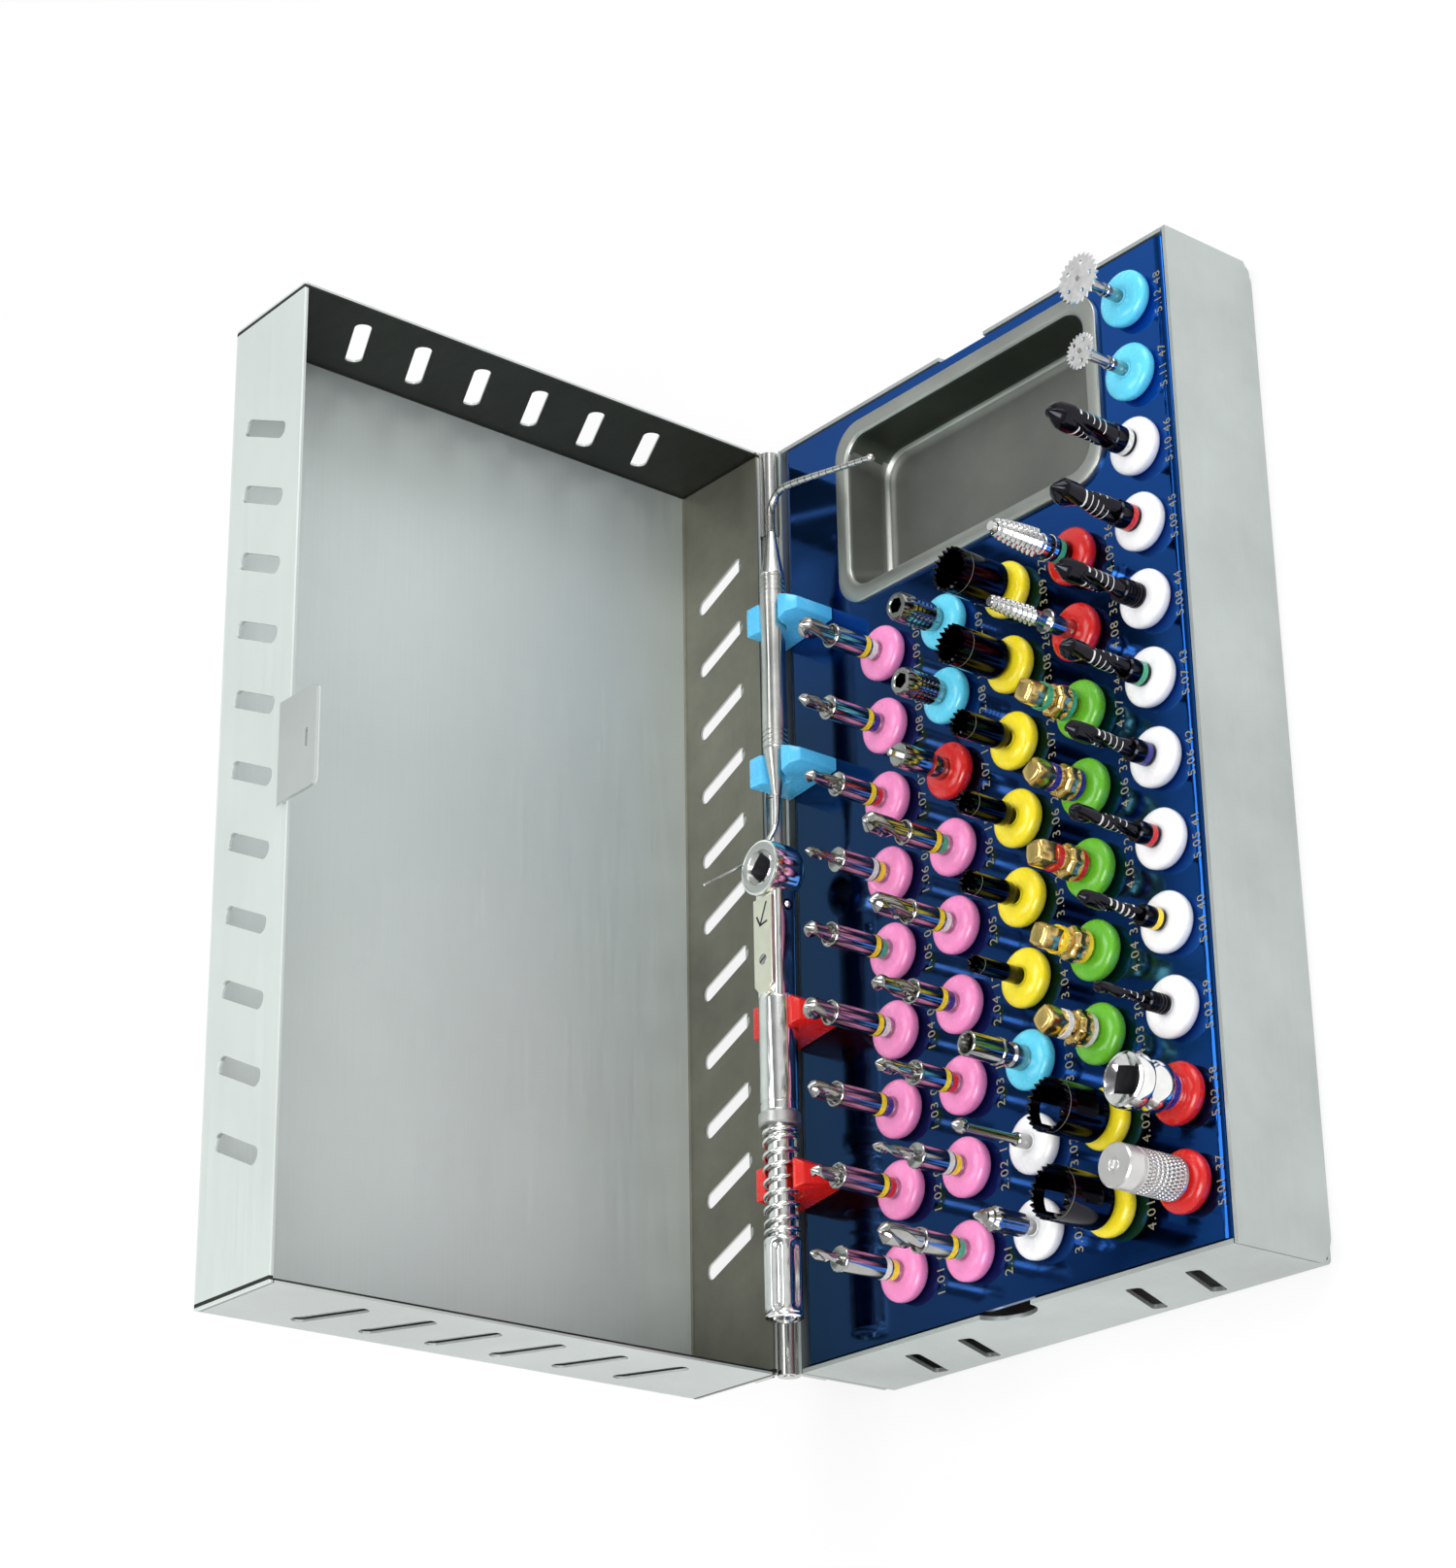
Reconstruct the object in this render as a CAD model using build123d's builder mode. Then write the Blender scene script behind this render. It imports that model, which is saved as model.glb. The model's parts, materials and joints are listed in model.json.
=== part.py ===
from build123d import *

import math
import os

# Dental implant instrument cassette. Millimetres, +Z up, +X along the hinge, +Y towards the hinge.
# The origin is the centre of the base's underside. The lid stands open at a right angle.

# ---------------------------------------------------------------- case
case_length = 190.0
case_depth = 109.0
base_height = 23.4
lid_height = 24.4
sheet = 0.8
bend_radius = 1.2
corner_seam = 0.25
rim_gap = 0.15
relief_length = 5.3
relief_height = 2.6

# ventilation slots: one punch, used on every wall
slot_length = 15.0
slot_width = 3.3
slot_corner = 1.5
slot_slant = 65.0
slot_pitch = 13.85
long_wall_slot_count = 11
end_wall_slot_count = 6
lid_slot_depth = 12.2
base_slot_length = 14.5
base_slot_width = 2.9
base_slot_corner = 0.8
base_slot_depth = 13.5
notch_width = 12.6
notch_depth = 5.2

# catch tongue on the lid's free edge
tongue_width = 19.2
tongue_reach = 10.0
tongue_gap = 0.2
tongue_lead = 3.4
tongue_radius = 1.5
lance_length = 3.6
lance_width = 0.7
lance_reach = 7.2

# hinge
hinge_offset = 2.65
knuckle_radius = 2.15
knuckle_count = 10
knuckle_gap = 0.2
leaf_thickness = 0.8
leaf_height = 7.0
leaf_relief = 1.9
pin_radius = 0.95
running_clearance = 0.05

# ---------------------------------------------------------------- tray
tray_clearance = 0.4
tray_thickness = 1.0
tray_drop = 0.3
tray_bend = 2.0

# seats of the silicone plugs: rows along X from the near end, columns from the hinge to the front
near_margin = 12.0
far_margin = 11.6
hinge_margin = 30.75
front_margin = 9.65
short_row_count = 9
long_row_count = 12
column_count = 5

plug_radius = 5.45
plug_height = 3.4
plug_dome = 1.5
plug_flat_radius = 2.4
plug_foot_radius = 4.5
plug_neck_radius = 4.0
plug_lip = 0.7
plug_tail_radius = 3.4
plug_depth = 13.1
neck_clearance = 0.05
shank_radius = 1.175
bore_clearance = 0.025
shank_depth = 11.6

# dish
dish_length = 39.5
dish_width = 72.8
dish_far_margin = 3.75
dish_flange = 2.5
dish_thickness = 1.0
dish_depth = 11.0
dish_corner = 7.0
dish_draft = 9.0
dish_clearance = 0.3
dish_floor_radius = 2.5

# holders at the hinge side
clip_back_reach = 6.5
clip_front_reach = 7.45
clip_fit = 0.1
clip_mouth = 1.2
clip_stem_radius = 2.0
clip_stem_lip = 0.5
clip_stem_depth = 3.0

# probe
probe_inset = 10.3
probe_radius = 2.5
probe_height = 8.7
probe_clip_length = 6.0
probe_clip_front = 10.5
probe_clip_back = 10.0
probe_clip_toe = 2.6
probe_clip_places = (-3.8, 28.3)
probe_clip_lead = 1.6
probe_lower_gap = 15.6
probe_lower_taper = 10.6
probe_handle_length = 35.9
probe_upper_taper = 10.0
probe_groove_depth = 0.25
probe_groove_width = 0.5
probe_groove_pitch = 1.1
probe_groove_count = 3
probe_neck_radius = 0.85
probe_rod_radius = 0.7
probe_rod_run = 9.5
probe_rod_bend = 6.0
probe_rod_return = 5.3
probe_rod_reach = 29.95
probe_ball_radius = 0.85
needle_radius = 0.4
needle_offset = 0.7
needle_rise = 13.3
needle_lean = 3.5

# torque ratchet wrench
wrench_inset = 10.7
wrench_height = 9.9
wrench_clip_length = 6.3
wrench_clip_top = 10.6
wrench_clip_slope = 3.4
wrench_clip_toe = 2.0
wrench_clip_places = (11.2, 42.6)
wrench_margin = 7.0
sleeve_length = 15.0
spring_room = 20.9
collar_length = 2.6
barrel_length = 22.8
neck_length = 25.1
head_radius = 5.5
head_height = 7.8
head_round = 1.8
wheel_radius = 3.9
wheel_hub_radius = 3.4
wheel_clearance = 0.05
wheel_tooth_count = 24
wheel_tooth_depth = 0.3
drive_square = 4.7
drive_round = 2.75
ring_thickness = 0.9
ring_radius = 4.9
neck_width = 6.6
neck_height = 6.8
barrel_radius = 3.6
collar_radius = 4.0
rod_radius = 2.2
rod_hold = 4.0
rod_end_inset = 1.5
spring_radius = 3.45
spring_wire = 0.4
spring_coil_count = 9
sleeve_radius = 3.5
sleeve_clearance = 0.1
flute_radius = 0.6
flute_count = 8
cover_width = 5.6
cover_thickness = 0.8
cover_inset = 6.0
screw_radius = 1.2
screw_inset = 6.8
screw_depth = 2.5
screw_slot = 0.4
detent_radius = 0.8
detent_inset = 7.6
pawl_length = 4.6
pawl_width = 2.4
pawl_height = 2.6
pawl_gap = 0.2
press_clearance = 0.01

# stepped drills: a guide body with a stop ring, and a pilot of one of four sizes
pilot_radii = {"wide": 1.95, "middle": 1.6, "slim": 1.3, "fine": 0.95}
stop_radius = 2.4
stop_height = 0.8
guide_radius = 2.15
guide_foot_radius = 1.85
guide_foot_height = 2.3
band_depth = 0.3
band_height = 1.2
lower_band = 0.8
upper_band = 2.7
point_radius = 0.1
point_height = 1.0

# trephines
large_trephine_radius = 4.75
tube_wall = 0.5
tube_foot = 1.6
tube_floor = 4.2
tooth_height = 1.2
tooth_width = 0.6
tooth_pitch = 1.9
window_width = 0.9
window_height = 3.0
wide_window_width = 4.4
wide_window_height = 5.0

# drills with depth marks
drill_hub_height = 4.6
drill_hub_extra = 1.25
drill_neck = 0.25

# saws
large_saw_radius = 5.0
large_saw_tip = 13.3
small_saw_radius = 3.5
small_saw_tip = 13.9
saw_thickness = 0.5
saw_tooth_count = 24
saw_tooth_depth = 0.5
saw_hole_radius = 0.45
saw_hole_count = 5
saw_pin_radius = 0.6
mandrel_radius = 1.0
mandrel_foot_height = 4.0
mandrel_foot_radius = 1.25

# gold drivers
knob_width = 4.4
knob_corner = 0.9
knob_height = 4.2
knob_band_radius = 2.55
waist_radius = 1.7
waist_height = 1.0
scallop_radius = 3.2
scallop_height = 3.2
scallop_count = 6
scallop_cut = 0.9
foot_band_radius = 3.0
driver_band_height = 1.1
driver_stem_radius = 1.7

# carriers
carrier_radius = 2.75
carrier_foot_radius = 2.2
carrier_groove_count = 5
carrier_groove = 0.25
hex_socket = 1.6
socket_depth = 3.5

# hex driver
hex_driver_tip = 16.3
hex_body_radius = 2.4
hex_foot_radius = 2.04
hex_foot_height = 3.0
hex_foot_slope = 0.5
hex_tip_radius = 0.9
hex_tip_height = 1.6

# tube driver
tube_driver_tip = 16.4
tube_driver_radius = 2.3
tube_driver_bore = 1.75
tube_driver_depth = 6.0
tube_foot_height = 3.0
tube_foot_slope = 0.5
tube_waist_radius = 1.84
tube_bead_radius = 2.65
tube_bead_height = 1.0
tube_bead_slope = 0.2
tube_bead_gap = 1.0

# mandrel with a bead and a point
pointed_tip = 20.5
pointed_foot_radius = 1.3
pointed_foot_height = 2.4
pointed_foot_slope = 1.0
pointed_stem_radius = 0.8
pointed_bead_radius = 1.35
pointed_bead_height = 1.0
pointed_bead_slope = 0.6
pointed_nose = 1.6

# screw tool
screw_tool_tip = 16.4
screw_foot_radius = 1.4
screw_foot_height = 1.6
screw_slope = 0.6
screw_body_radius = 2.1
screw_flange_radius = 2.3
screw_flange_height = 1.6
screw_flange_gap = 4.0
screw_nose_radius = 1.6
screw_point_radius = 1.2
screw_point_height = 2.0

# taps
thread_depth = 0.3
large_tap_tip = 21.3
large_tap_hub = 2.3
large_tap_hub_height = 6.0
large_tap_thread = 2.6
large_tap_lead = 1.2
large_tap_nose = 1.7
small_tap_tip = 22.5
small_tap_hub = 1.8
small_tap_hub_height = 5.0
small_tap_ring = 2.3
small_tap_ring_height = 1.0
small_tap_neck = 1.5
small_tap_neck_height = 2.0
small_tap_thread = 1.75
small_tap_nose = 1.2
small_tap_nose_height = 3.0

# socket driver
socket_driver_tip = 14.3
socket_foot_radius = 3.3
socket_foot_height = 2.6
socket_shoulder_radius = 4.4
socket_shoulder_slope = 0.6
socket_shoulder_height = 2.2
socket_waist_radius = 3.7
socket_waist_slope = 1.6
socket_head_radius = 4.9
socket_head_slope = 1.4
socket_square = 4.8

# thumb driver
thumb_driver_tip = 17.4
thumb_radius = 3.8
thumb_foot_radius = 2.28
thumb_foot_height = 0.6
thumb_edge = 0.2
thumb_groove = 0.4
thumb_cap_height = 3.2
thumb_dimple_radius = 0.95

# ---------------------------------------------------------------- places worked out from the above
axis_y = case_depth / 2 + hinge_offset
axis_z = base_height
plate_top = base_height - tray_drop
plug_top = plate_top + plug_height
probe_y = axis_y - probe_inset
wrench_y = axis_y - wrench_inset
near_end_x = -case_length / 2
row_pitch = (case_length - near_margin - far_margin) / (long_row_count - 1)
column_pitch = (case_depth - hinge_margin - front_margin) / (column_count - 1)
first_row_x = near_end_x + near_margin
first_column_y = case_depth / 2 - hinge_margin
dish_centre_x = case_length / 2 - dish_far_margin - dish_length / 2
sleeve_end_x = near_end_x + wrench_margin
sleeve_start_x = sleeve_end_x + sleeve_length
collar_end_x = sleeve_start_x + spring_room
barrel_end_x = collar_end_x + collar_length
neck_end_x = barrel_end_x + barrel_length
head_x = neck_end_x + neck_length
wrench_clip_xs = [sleeve_start_x + place for place in wrench_clip_places]
rod_end_x = sleeve_end_x + rod_end_inset
cover_start_x = head_x - cover_inset
screw_x = neck_end_x + screw_inset
detent_x = head_x - detent_inset
probe_lower_end = head_x + probe_lower_gap
probe_lower_shoulder = probe_lower_end + probe_lower_taper
probe_upper_shoulder = probe_lower_shoulder + probe_handle_length
probe_upper_end = probe_upper_shoulder + probe_upper_taper
probe_clip_xs = [probe_lower_shoulder + place for place in probe_clip_places]
probe_rod_corner_x = probe_upper_end + probe_rod_run
probe_rod_end_x = probe_rod_corner_x - probe_rod_return
probe_rod_end_y = probe_y - probe_rod_reach
tray_length = case_length - 2 * sheet - 2 * tray_clearance
tray_depth = case_depth - 2 * sheet - 2 * tray_clearance
plug_bore = shank_radius + bore_clearance
knuckle_pitch = case_length / knuckle_count
knuckle_length = knuckle_pitch - knuckle_gap
bore_radius = pin_radius + running_clearance
probe_z = axis_z + probe_height
wrench_z = axis_z + wrench_height

base_plane = Plane.XY
lid_plane = Plane(
    origin=(0, axis_y + lid_height, axis_z + hinge_offset + case_depth / 2),
    x_dir=(1, 0, 0),
    z_dir=(0, -1, 0),
)

os.makedirs("parts", exist_ok=True)


def save(part, name):
    """Label a finished piece and write it."""
    part.label = name
    export_step(part, f"parts/{name}.step")


def seat(column, row):
    """Centre of a plug hole on top of the plate."""
    return (first_row_x + row * row_pitch, first_column_y - column * column_pitch)


# ---------------------------------------------------------------- folded case shells
def wall_plane(shell, along, outward, reach, depth):
    """Plane on a wall's outer face, centred at a depth below the floor plane's far rim."""
    origin = shell.from_local_coords(Vector(*outward) * reach + Vector(0, 0, depth))
    x_dir = shell.from_local_coords(Vector(*along)) - shell.origin
    z_dir = shell.from_local_coords(Vector(*outward)) - shell.origin
    return Plane(origin=origin, x_dir=x_dir, z_dir=z_dir)


def folded_shell(shell, height):
    """Open tray of sheet metal, folded up from a floor in a plane, with a seam at each corner."""
    rim = height - rim_gap
    with BuildPart() as tray:
        with BuildSketch(shell):
            Rectangle(case_length, case_depth)
        extrude(amount=rim)
        floor_face = tray.faces().sort_by(Axis(shell.origin, shell.z_dir))[0]
        fillet(floor_face.edges(), radius=bend_radius)
        rim_face = tray.faces().sort_by(Axis(shell.origin, shell.z_dir))[-1]
        offset(amount=-sheet, openings=rim_face)
        with BuildSketch(shell.offset(bend_radius)):
            with GridLocations(case_length - sheet, case_depth - 2 * sheet - corner_seam, 2, 2):
                Rectangle(sheet, corner_seam)
        extrude(amount=rim, mode=Mode.SUBTRACT)
    return tray.part


def punched_slots(plane, places, length, width, corner):
    """Slanted slots through one wall, as a solid to cut away."""
    with BuildPart() as punch:
        with BuildSketch(plane.offset(-2 * sheet)):
            with Locations(*[(place, 0) for place in places]):
                RectangleRounded(length, width, corner, rotation=slot_slant)
        extrude(amount=3 * sheet)
    return punch.part


def evenly(count):
    """Places of a row of slots about its middle."""
    return [(i - (count - 1) / 2) * slot_pitch for i in range(count)]


half_length = case_length / 2
half_depth = case_depth / 2

base_slot_z = base_height - base_slot_depth
base_slot_places = [place for place in evenly(end_wall_slot_count) if abs(place) > slot_pitch]
base_punch = (base_slot_places, base_slot_length, base_slot_width, base_slot_corner)
far_wall = wall_plane(base_plane, (0, 1, 0), (1, 0, 0), half_length, base_slot_z)
near_wall = wall_plane(base_plane, (0, -1, 0), (-1, 0, 0), half_length, base_slot_z)
base_blank = folded_shell(base_plane, base_height)
base_slots = [punched_slots(wall, *base_punch) for wall in (far_wall, near_wall)]

# the floor corners are cut off where the folds meet
with BuildPart() as corner_cut:
    with BuildSketch(Plane.XZ.offset(half_depth - sheet - corner_seam)):
        with BuildLine():
            Polyline(
                (half_length - relief_length, -1),
                (half_length + 1, -1),
                (half_length + 1, relief_height),
                (half_length, relief_height),
                (half_length - relief_length, 0),
                close=True,
            )
        make_face()
        mirror(about=Plane.YZ)
    extrude(amount=2 * sheet)
    mirror(about=Plane.XZ)

with BuildPart() as base_shell:
    add(base_blank)
    add(base_slots, mode=Mode.SUBTRACT)
    add(corner_cut.part, mode=Mode.SUBTRACT)
    # half-round thumb notches in both end walls
    with BuildSketch(Plane.YZ):
        with Locations((0, base_height)):
            Ellipse(notch_width / 2, notch_depth)
    extrude(amount=case_length, both=True, mode=Mode.SUBTRACT)
save(base_shell.part, "base_shell")

lid_slot_z = lid_height - lid_slot_depth
lid_front_wall = wall_plane(lid_plane, (1, 0, 0), (0, 1, 0), half_depth, lid_slot_z)
lid_hinge_wall = wall_plane(lid_plane, (1, 0, 0), (0, -1, 0), half_depth, lid_slot_z)
lid_far_wall = wall_plane(lid_plane, (0, 1, 0), (1, 0, 0), half_length, lid_slot_z)
lid_near_wall = wall_plane(lid_plane, (0, -1, 0), (-1, 0, 0), half_length, lid_slot_z)
lid_blank = folded_shell(lid_plane, lid_height)
lid_slots = [
    punched_slots(wall, evenly(long_wall_slot_count), slot_length, slot_width, slot_corner)
    for wall in (lid_front_wall, lid_hinge_wall)
] + [
    punched_slots(wall, evenly(end_wall_slot_count), slot_length, slot_width, slot_corner)
    for wall in (lid_far_wall, lid_near_wall)
]
tongue_z = lid_plane.origin.Z + half_depth
tongue_y = axis_y

with BuildPart() as lid_shell:
    add(lid_blank)
    add(lid_slots, mode=Mode.SUBTRACT)
    # tongue, set outwards so that it slips over the base's front wall
    with BuildSketch(Plane.YZ.offset(-tongue_width / 2)):
        with BuildLine():
            Polyline(
                (tongue_y + tongue_lead, tongue_z - sheet / 2),
                (tongue_y + tongue_lead, tongue_z),
                (tongue_y + tongue_lead / 2, tongue_z + tongue_gap + sheet),
                (tongue_y - tongue_reach, tongue_z + tongue_gap + sheet),
                (tongue_y - tongue_reach, tongue_z + tongue_gap),
                (tongue_y + tongue_lead / 3, tongue_z + tongue_gap),
                (tongue_y + tongue_lead / 2, tongue_z - sheet / 2),
                close=True,
            )
        make_face()
    extrude(amount=tongue_width)
    tip_edges = lid_shell.edges().filter_by(Axis.Z).group_by(Axis.Y)[0]
    fillet(tip_edges, radius=tongue_radius)
    with BuildSketch(Plane.XY.offset(tongue_z)):
        with Locations((0, tongue_y - lance_reach)):
            SlotOverall(lance_length, lance_width)
    extrude(amount=2 * sheet, mode=Mode.SUBTRACT)
save(lid_shell.part, "lid_shell")


# ---------------------------------------------------------------- hinge
def hinge_leaf(side, own, others):
    """Leaf and its own knuckles. The plane's x runs from the axis along the wall, its y to the wall."""
    with BuildPart() as leaf:
        with BuildSketch(side):
            with Locations((leaf_height / 2, hinge_offset - leaf_thickness / 2)):
                Rectangle(leaf_height, leaf_thickness)
        extrude(amount=half_length, both=True)
        for i in own:
            with BuildSketch(side.offset(knuckle_x(i) * side.z_dir.X)):
                Circle(knuckle_radius)
            extrude(amount=knuckle_length / 2, both=True)
        for i in others:
            with BuildSketch(side.offset(knuckle_x(i) * side.z_dir.X)):
                with Locations((0, hinge_offset)):
                    Rectangle(2 * leaf_relief, 2 * leaf_thickness + knuckle_gap)
            extrude(amount=(knuckle_pitch + knuckle_gap) / 2, both=True, mode=Mode.SUBTRACT)
        with BuildSketch(side):
            Circle(bore_radius)
        extrude(amount=half_length, both=True, mode=Mode.SUBTRACT)
    return leaf.part


def knuckle_x(i):
    """Middle of a knuckle along the hinge."""
    return (i + 0.5) * knuckle_pitch - half_length


base_side = Plane(origin=(0, axis_y, axis_z), x_dir=(0, 0, -1), z_dir=(-1, 0, 0))
lid_side = Plane(origin=(0, axis_y, axis_z), x_dir=(0, 1, 0), z_dir=(1, 0, 0))
even_knuckles = range(0, knuckle_count, 2)
odd_knuckles = range(1, knuckle_count, 2)
save(hinge_leaf(base_side, even_knuckles, odd_knuckles), "base_hinge_leaf")
save(hinge_leaf(lid_side, odd_knuckles, even_knuckles), "lid_hinge_leaf")

with BuildPart() as hinge_pin:
    with BuildSketch(lid_side):
        Circle(pin_radius)
    extrude(amount=half_length, both=True)
save(hinge_pin.part, "hinge_pin")


# ---------------------------------------------------------------- tray plate, plugs and dish
seats = [(column, row) for column in range(column_count) for row in range(short_row_count)]
seats += [(column_count - 1, row) for row in range(short_row_count, long_row_count)]
dish_body_length = dish_length - 2 * dish_flange
dish_body_width = dish_width - 2 * dish_flange
dish_body_corner = dish_corner - dish_flange
clip_stems = [(x, probe_y) for x in probe_clip_xs] + [(x, wrench_y) for x in wrench_clip_xs]

with BuildPart() as tray_plate:
    with BuildSketch(Plane.YZ):
        with Locations((0, (plate_top + sheet) / 2)):
            Rectangle(tray_depth, plate_top - sheet)
        with Locations((0, (plate_top + sheet - tray_thickness) / 2)):
            Rectangle(
                tray_depth - 2 * tray_thickness,
                plate_top - sheet - tray_thickness,
                mode=Mode.SUBTRACT,
            )
    extrude(amount=tray_length / 2, both=True)
    inner_edges = tray_plate.edges().filter_by(Axis.X).group_by(Axis.Z)[-2]
    fillet(inner_edges, radius=tray_bend - tray_thickness)
    outer_edges = tray_plate.edges().filter_by(Axis.X).group_by(Axis.Z)[-1]
    fillet(outer_edges, radius=tray_bend)
    with BuildSketch(Plane.XY.offset(plate_top)):
        with Locations(*[seat(column, row) for column, row in seats]):
            Circle(plug_neck_radius)
        with Locations(*clip_stems):
            Circle(clip_stem_radius)
        with Locations((dish_centre_x, 0)):
            RectangleRounded(
                dish_body_length + 2 * dish_clearance,
                dish_body_width + 2 * dish_clearance,
                dish_body_corner + dish_clearance,
            )
    extrude(amount=-2 * tray_thickness, mode=Mode.SUBTRACT)
save(tray_plate.part, "tray_plate")

with BuildPart() as bone_dish:
    with BuildSketch(Plane.XY.offset(plate_top)):
        with Locations((dish_centre_x, 0)):
            RectangleRounded(dish_length, dish_width, dish_corner)
    extrude(amount=dish_thickness)
    with BuildSketch(Plane.XY.offset(plate_top)):
        with Locations((dish_centre_x, 0)):
            RectangleRounded(dish_body_length, dish_body_width, dish_body_corner)
    extrude(amount=dish_thickness - dish_depth, taper=dish_draft)
    fillet(bone_dish.faces().sort_by(Axis.Z)[0].edges(), radius=dish_floor_radius)
    with BuildSketch(Plane.XY.offset(plate_top + dish_thickness)):
        with Locations((dish_centre_x, 0)):
            RectangleRounded(
                dish_body_length - 2 * dish_thickness,
                dish_body_width - 2 * dish_thickness,
                dish_body_corner - dish_thickness,
            )
    extrude(amount=dish_thickness - dish_depth, taper=dish_draft, mode=Mode.SUBTRACT)
save(bone_dish.part, "bone_dish")


def lathe(profile):
    """Solid turned about Z through (radius, height) points, closed along the axis."""
    with BuildPart() as turned:
        with BuildSketch(Plane.XZ):
            with BuildLine():
                Polyline((0, profile[0][1]), *profile, (0, profile[-1][1]), close=True)
            make_face()
        revolve(axis=Axis.Z)
    return turned.part


def planted(tools):
    """Group of (solid, column, row), each standing on its plug."""
    with BuildPart() as group:
        for tool, column, row in tools:
            x, y = seat(column, row)
            with Locations((x, y, plug_top)):
                add(tool)
    return group.part


plug_root = -plug_height - tray_thickness
with BuildPart() as plug:
    with BuildSketch(Plane.XZ):
        with BuildLine():
            top = Line((plug_bore, 0), (plug_flat_radius, 0))
            dome = EllipticalCenterArc(
                center=(plug_flat_radius, -plug_dome),
                x_radius=plug_radius - plug_flat_radius,
                y_radius=plug_dome,
                start_angle=0,
                arc_size=90,
            )
            Polyline(
                (plug_radius, -plug_dome),
                (plug_foot_radius, -plug_height),
                (plug_neck_radius - neck_clearance, -plug_height),
                (plug_neck_radius - neck_clearance, plug_root),
                (plug_neck_radius + plug_lip, plug_root),
                (plug_neck_radius + plug_lip, plug_root - plug_lip),
                (plug_tail_radius, -plug_depth),
                (0, -plug_depth),
                (0, -shank_depth),
                (plug_bore, -shank_depth),
                (plug_bore, 0),
            )
        make_face()
    revolve(axis=Axis.Z)

plug_colours = {
    "pink": [(0, row) for row in range(9)] + [(1, row) for row in range(6)],
    "sky": [(1, 7), (1, 8), (2, 2), (4, 10), (4, 11)],
    "red": [(1, 6), (3, 7), (3, 8), (4, 0), (4, 1)],
    "yellow": [(2, row) for row in range(3, 9)] + [(3, 0), (3, 1)],
    "green": [(3, row) for row in range(2, 7)],
    "white": [(2, 0), (2, 1)] + [(4, row) for row in range(2, 10)],
}
for colour, places in plug_colours.items():
    save(planted([(plug.part, column, row) for column, row in places]), f"plugs_{colour}")


# ---------------------------------------------------------------- clips
def clip_stem(x, y):
    """Round stem with a lip that holds a clip in the plate."""
    stem = lathe([
        (clip_stem_radius - neck_clearance, 0),
        (clip_stem_radius - neck_clearance, -tray_thickness),
        (clip_stem_radius + clip_stem_lip, -tray_thickness),
        (clip_stem_radius, -clip_stem_depth),
    ])
    with BuildPart() as placed:
        with Locations((x, y, plate_top)):
            add(stem)
    return placed.part


def toe_sides(x, front_y, shoulder_y, toe, length):
    """Both wedges that are cut away beside the narrow toe of a clip."""
    with BuildPart() as wedges:
        with BuildSketch(Plane.XY.offset(plate_top)):
            with BuildLine():
                Polyline(
                    (x + toe / 2, front_y - toe),
                    (x + length, front_y - toe),
                    (x + length, shoulder_y),
                    (x + length / 2, shoulder_y),
                    (x + toe / 2, front_y),
                    close=True,
                )
            make_face()
            mirror(about=Plane.YZ.offset(x))
        extrude(amount=base_height)
    return wedges.part


probe_slot = probe_radius + clip_fit
probe_clip_front_y = probe_y - clip_front_reach
with BuildPart() as probe_clips:
    for x in probe_clip_xs:
        with BuildSketch(Plane.YZ.offset(x)):
            with BuildLine():
                Polyline(
                    (probe_clip_front_y, plate_top),
                    (probe_clip_front_y, axis_z + probe_clip_front - probe_clip_lead),
                    (probe_clip_front_y + probe_clip_lead, axis_z + probe_clip_front),
                    (probe_y - probe_slot - clip_mouth, axis_z + probe_clip_front),
                    (probe_y - probe_slot, axis_z + probe_clip_front - 2 * clip_mouth),
                    (probe_y + probe_slot, axis_z + probe_clip_back - clip_mouth),
                    (probe_y + probe_slot + clip_mouth / 2, axis_z + probe_clip_back),
                    (probe_y + clip_back_reach, axis_z + probe_clip_back),
                    (probe_y + clip_back_reach, plate_top),
                    close=True,
                )
            make_face()
        extrude(amount=probe_clip_length / 2, both=True)
        with BuildSketch(Plane.YZ.offset(x)):
            with Locations((probe_y, probe_z)):
                Circle(probe_slot)
            with Locations((probe_y, probe_z + base_height / 2)):
                Rectangle(2 * probe_slot, base_height)
        extrude(amount=probe_clip_length, both=True, mode=Mode.SUBTRACT)
        sides = toe_sides(x, probe_clip_front_y, probe_y - probe_slot, probe_clip_toe, probe_clip_length)
        add(sides, mode=Mode.SUBTRACT)
        add(clip_stem(x, probe_y))
save(probe_clips.part, "probe_clips")

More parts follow.
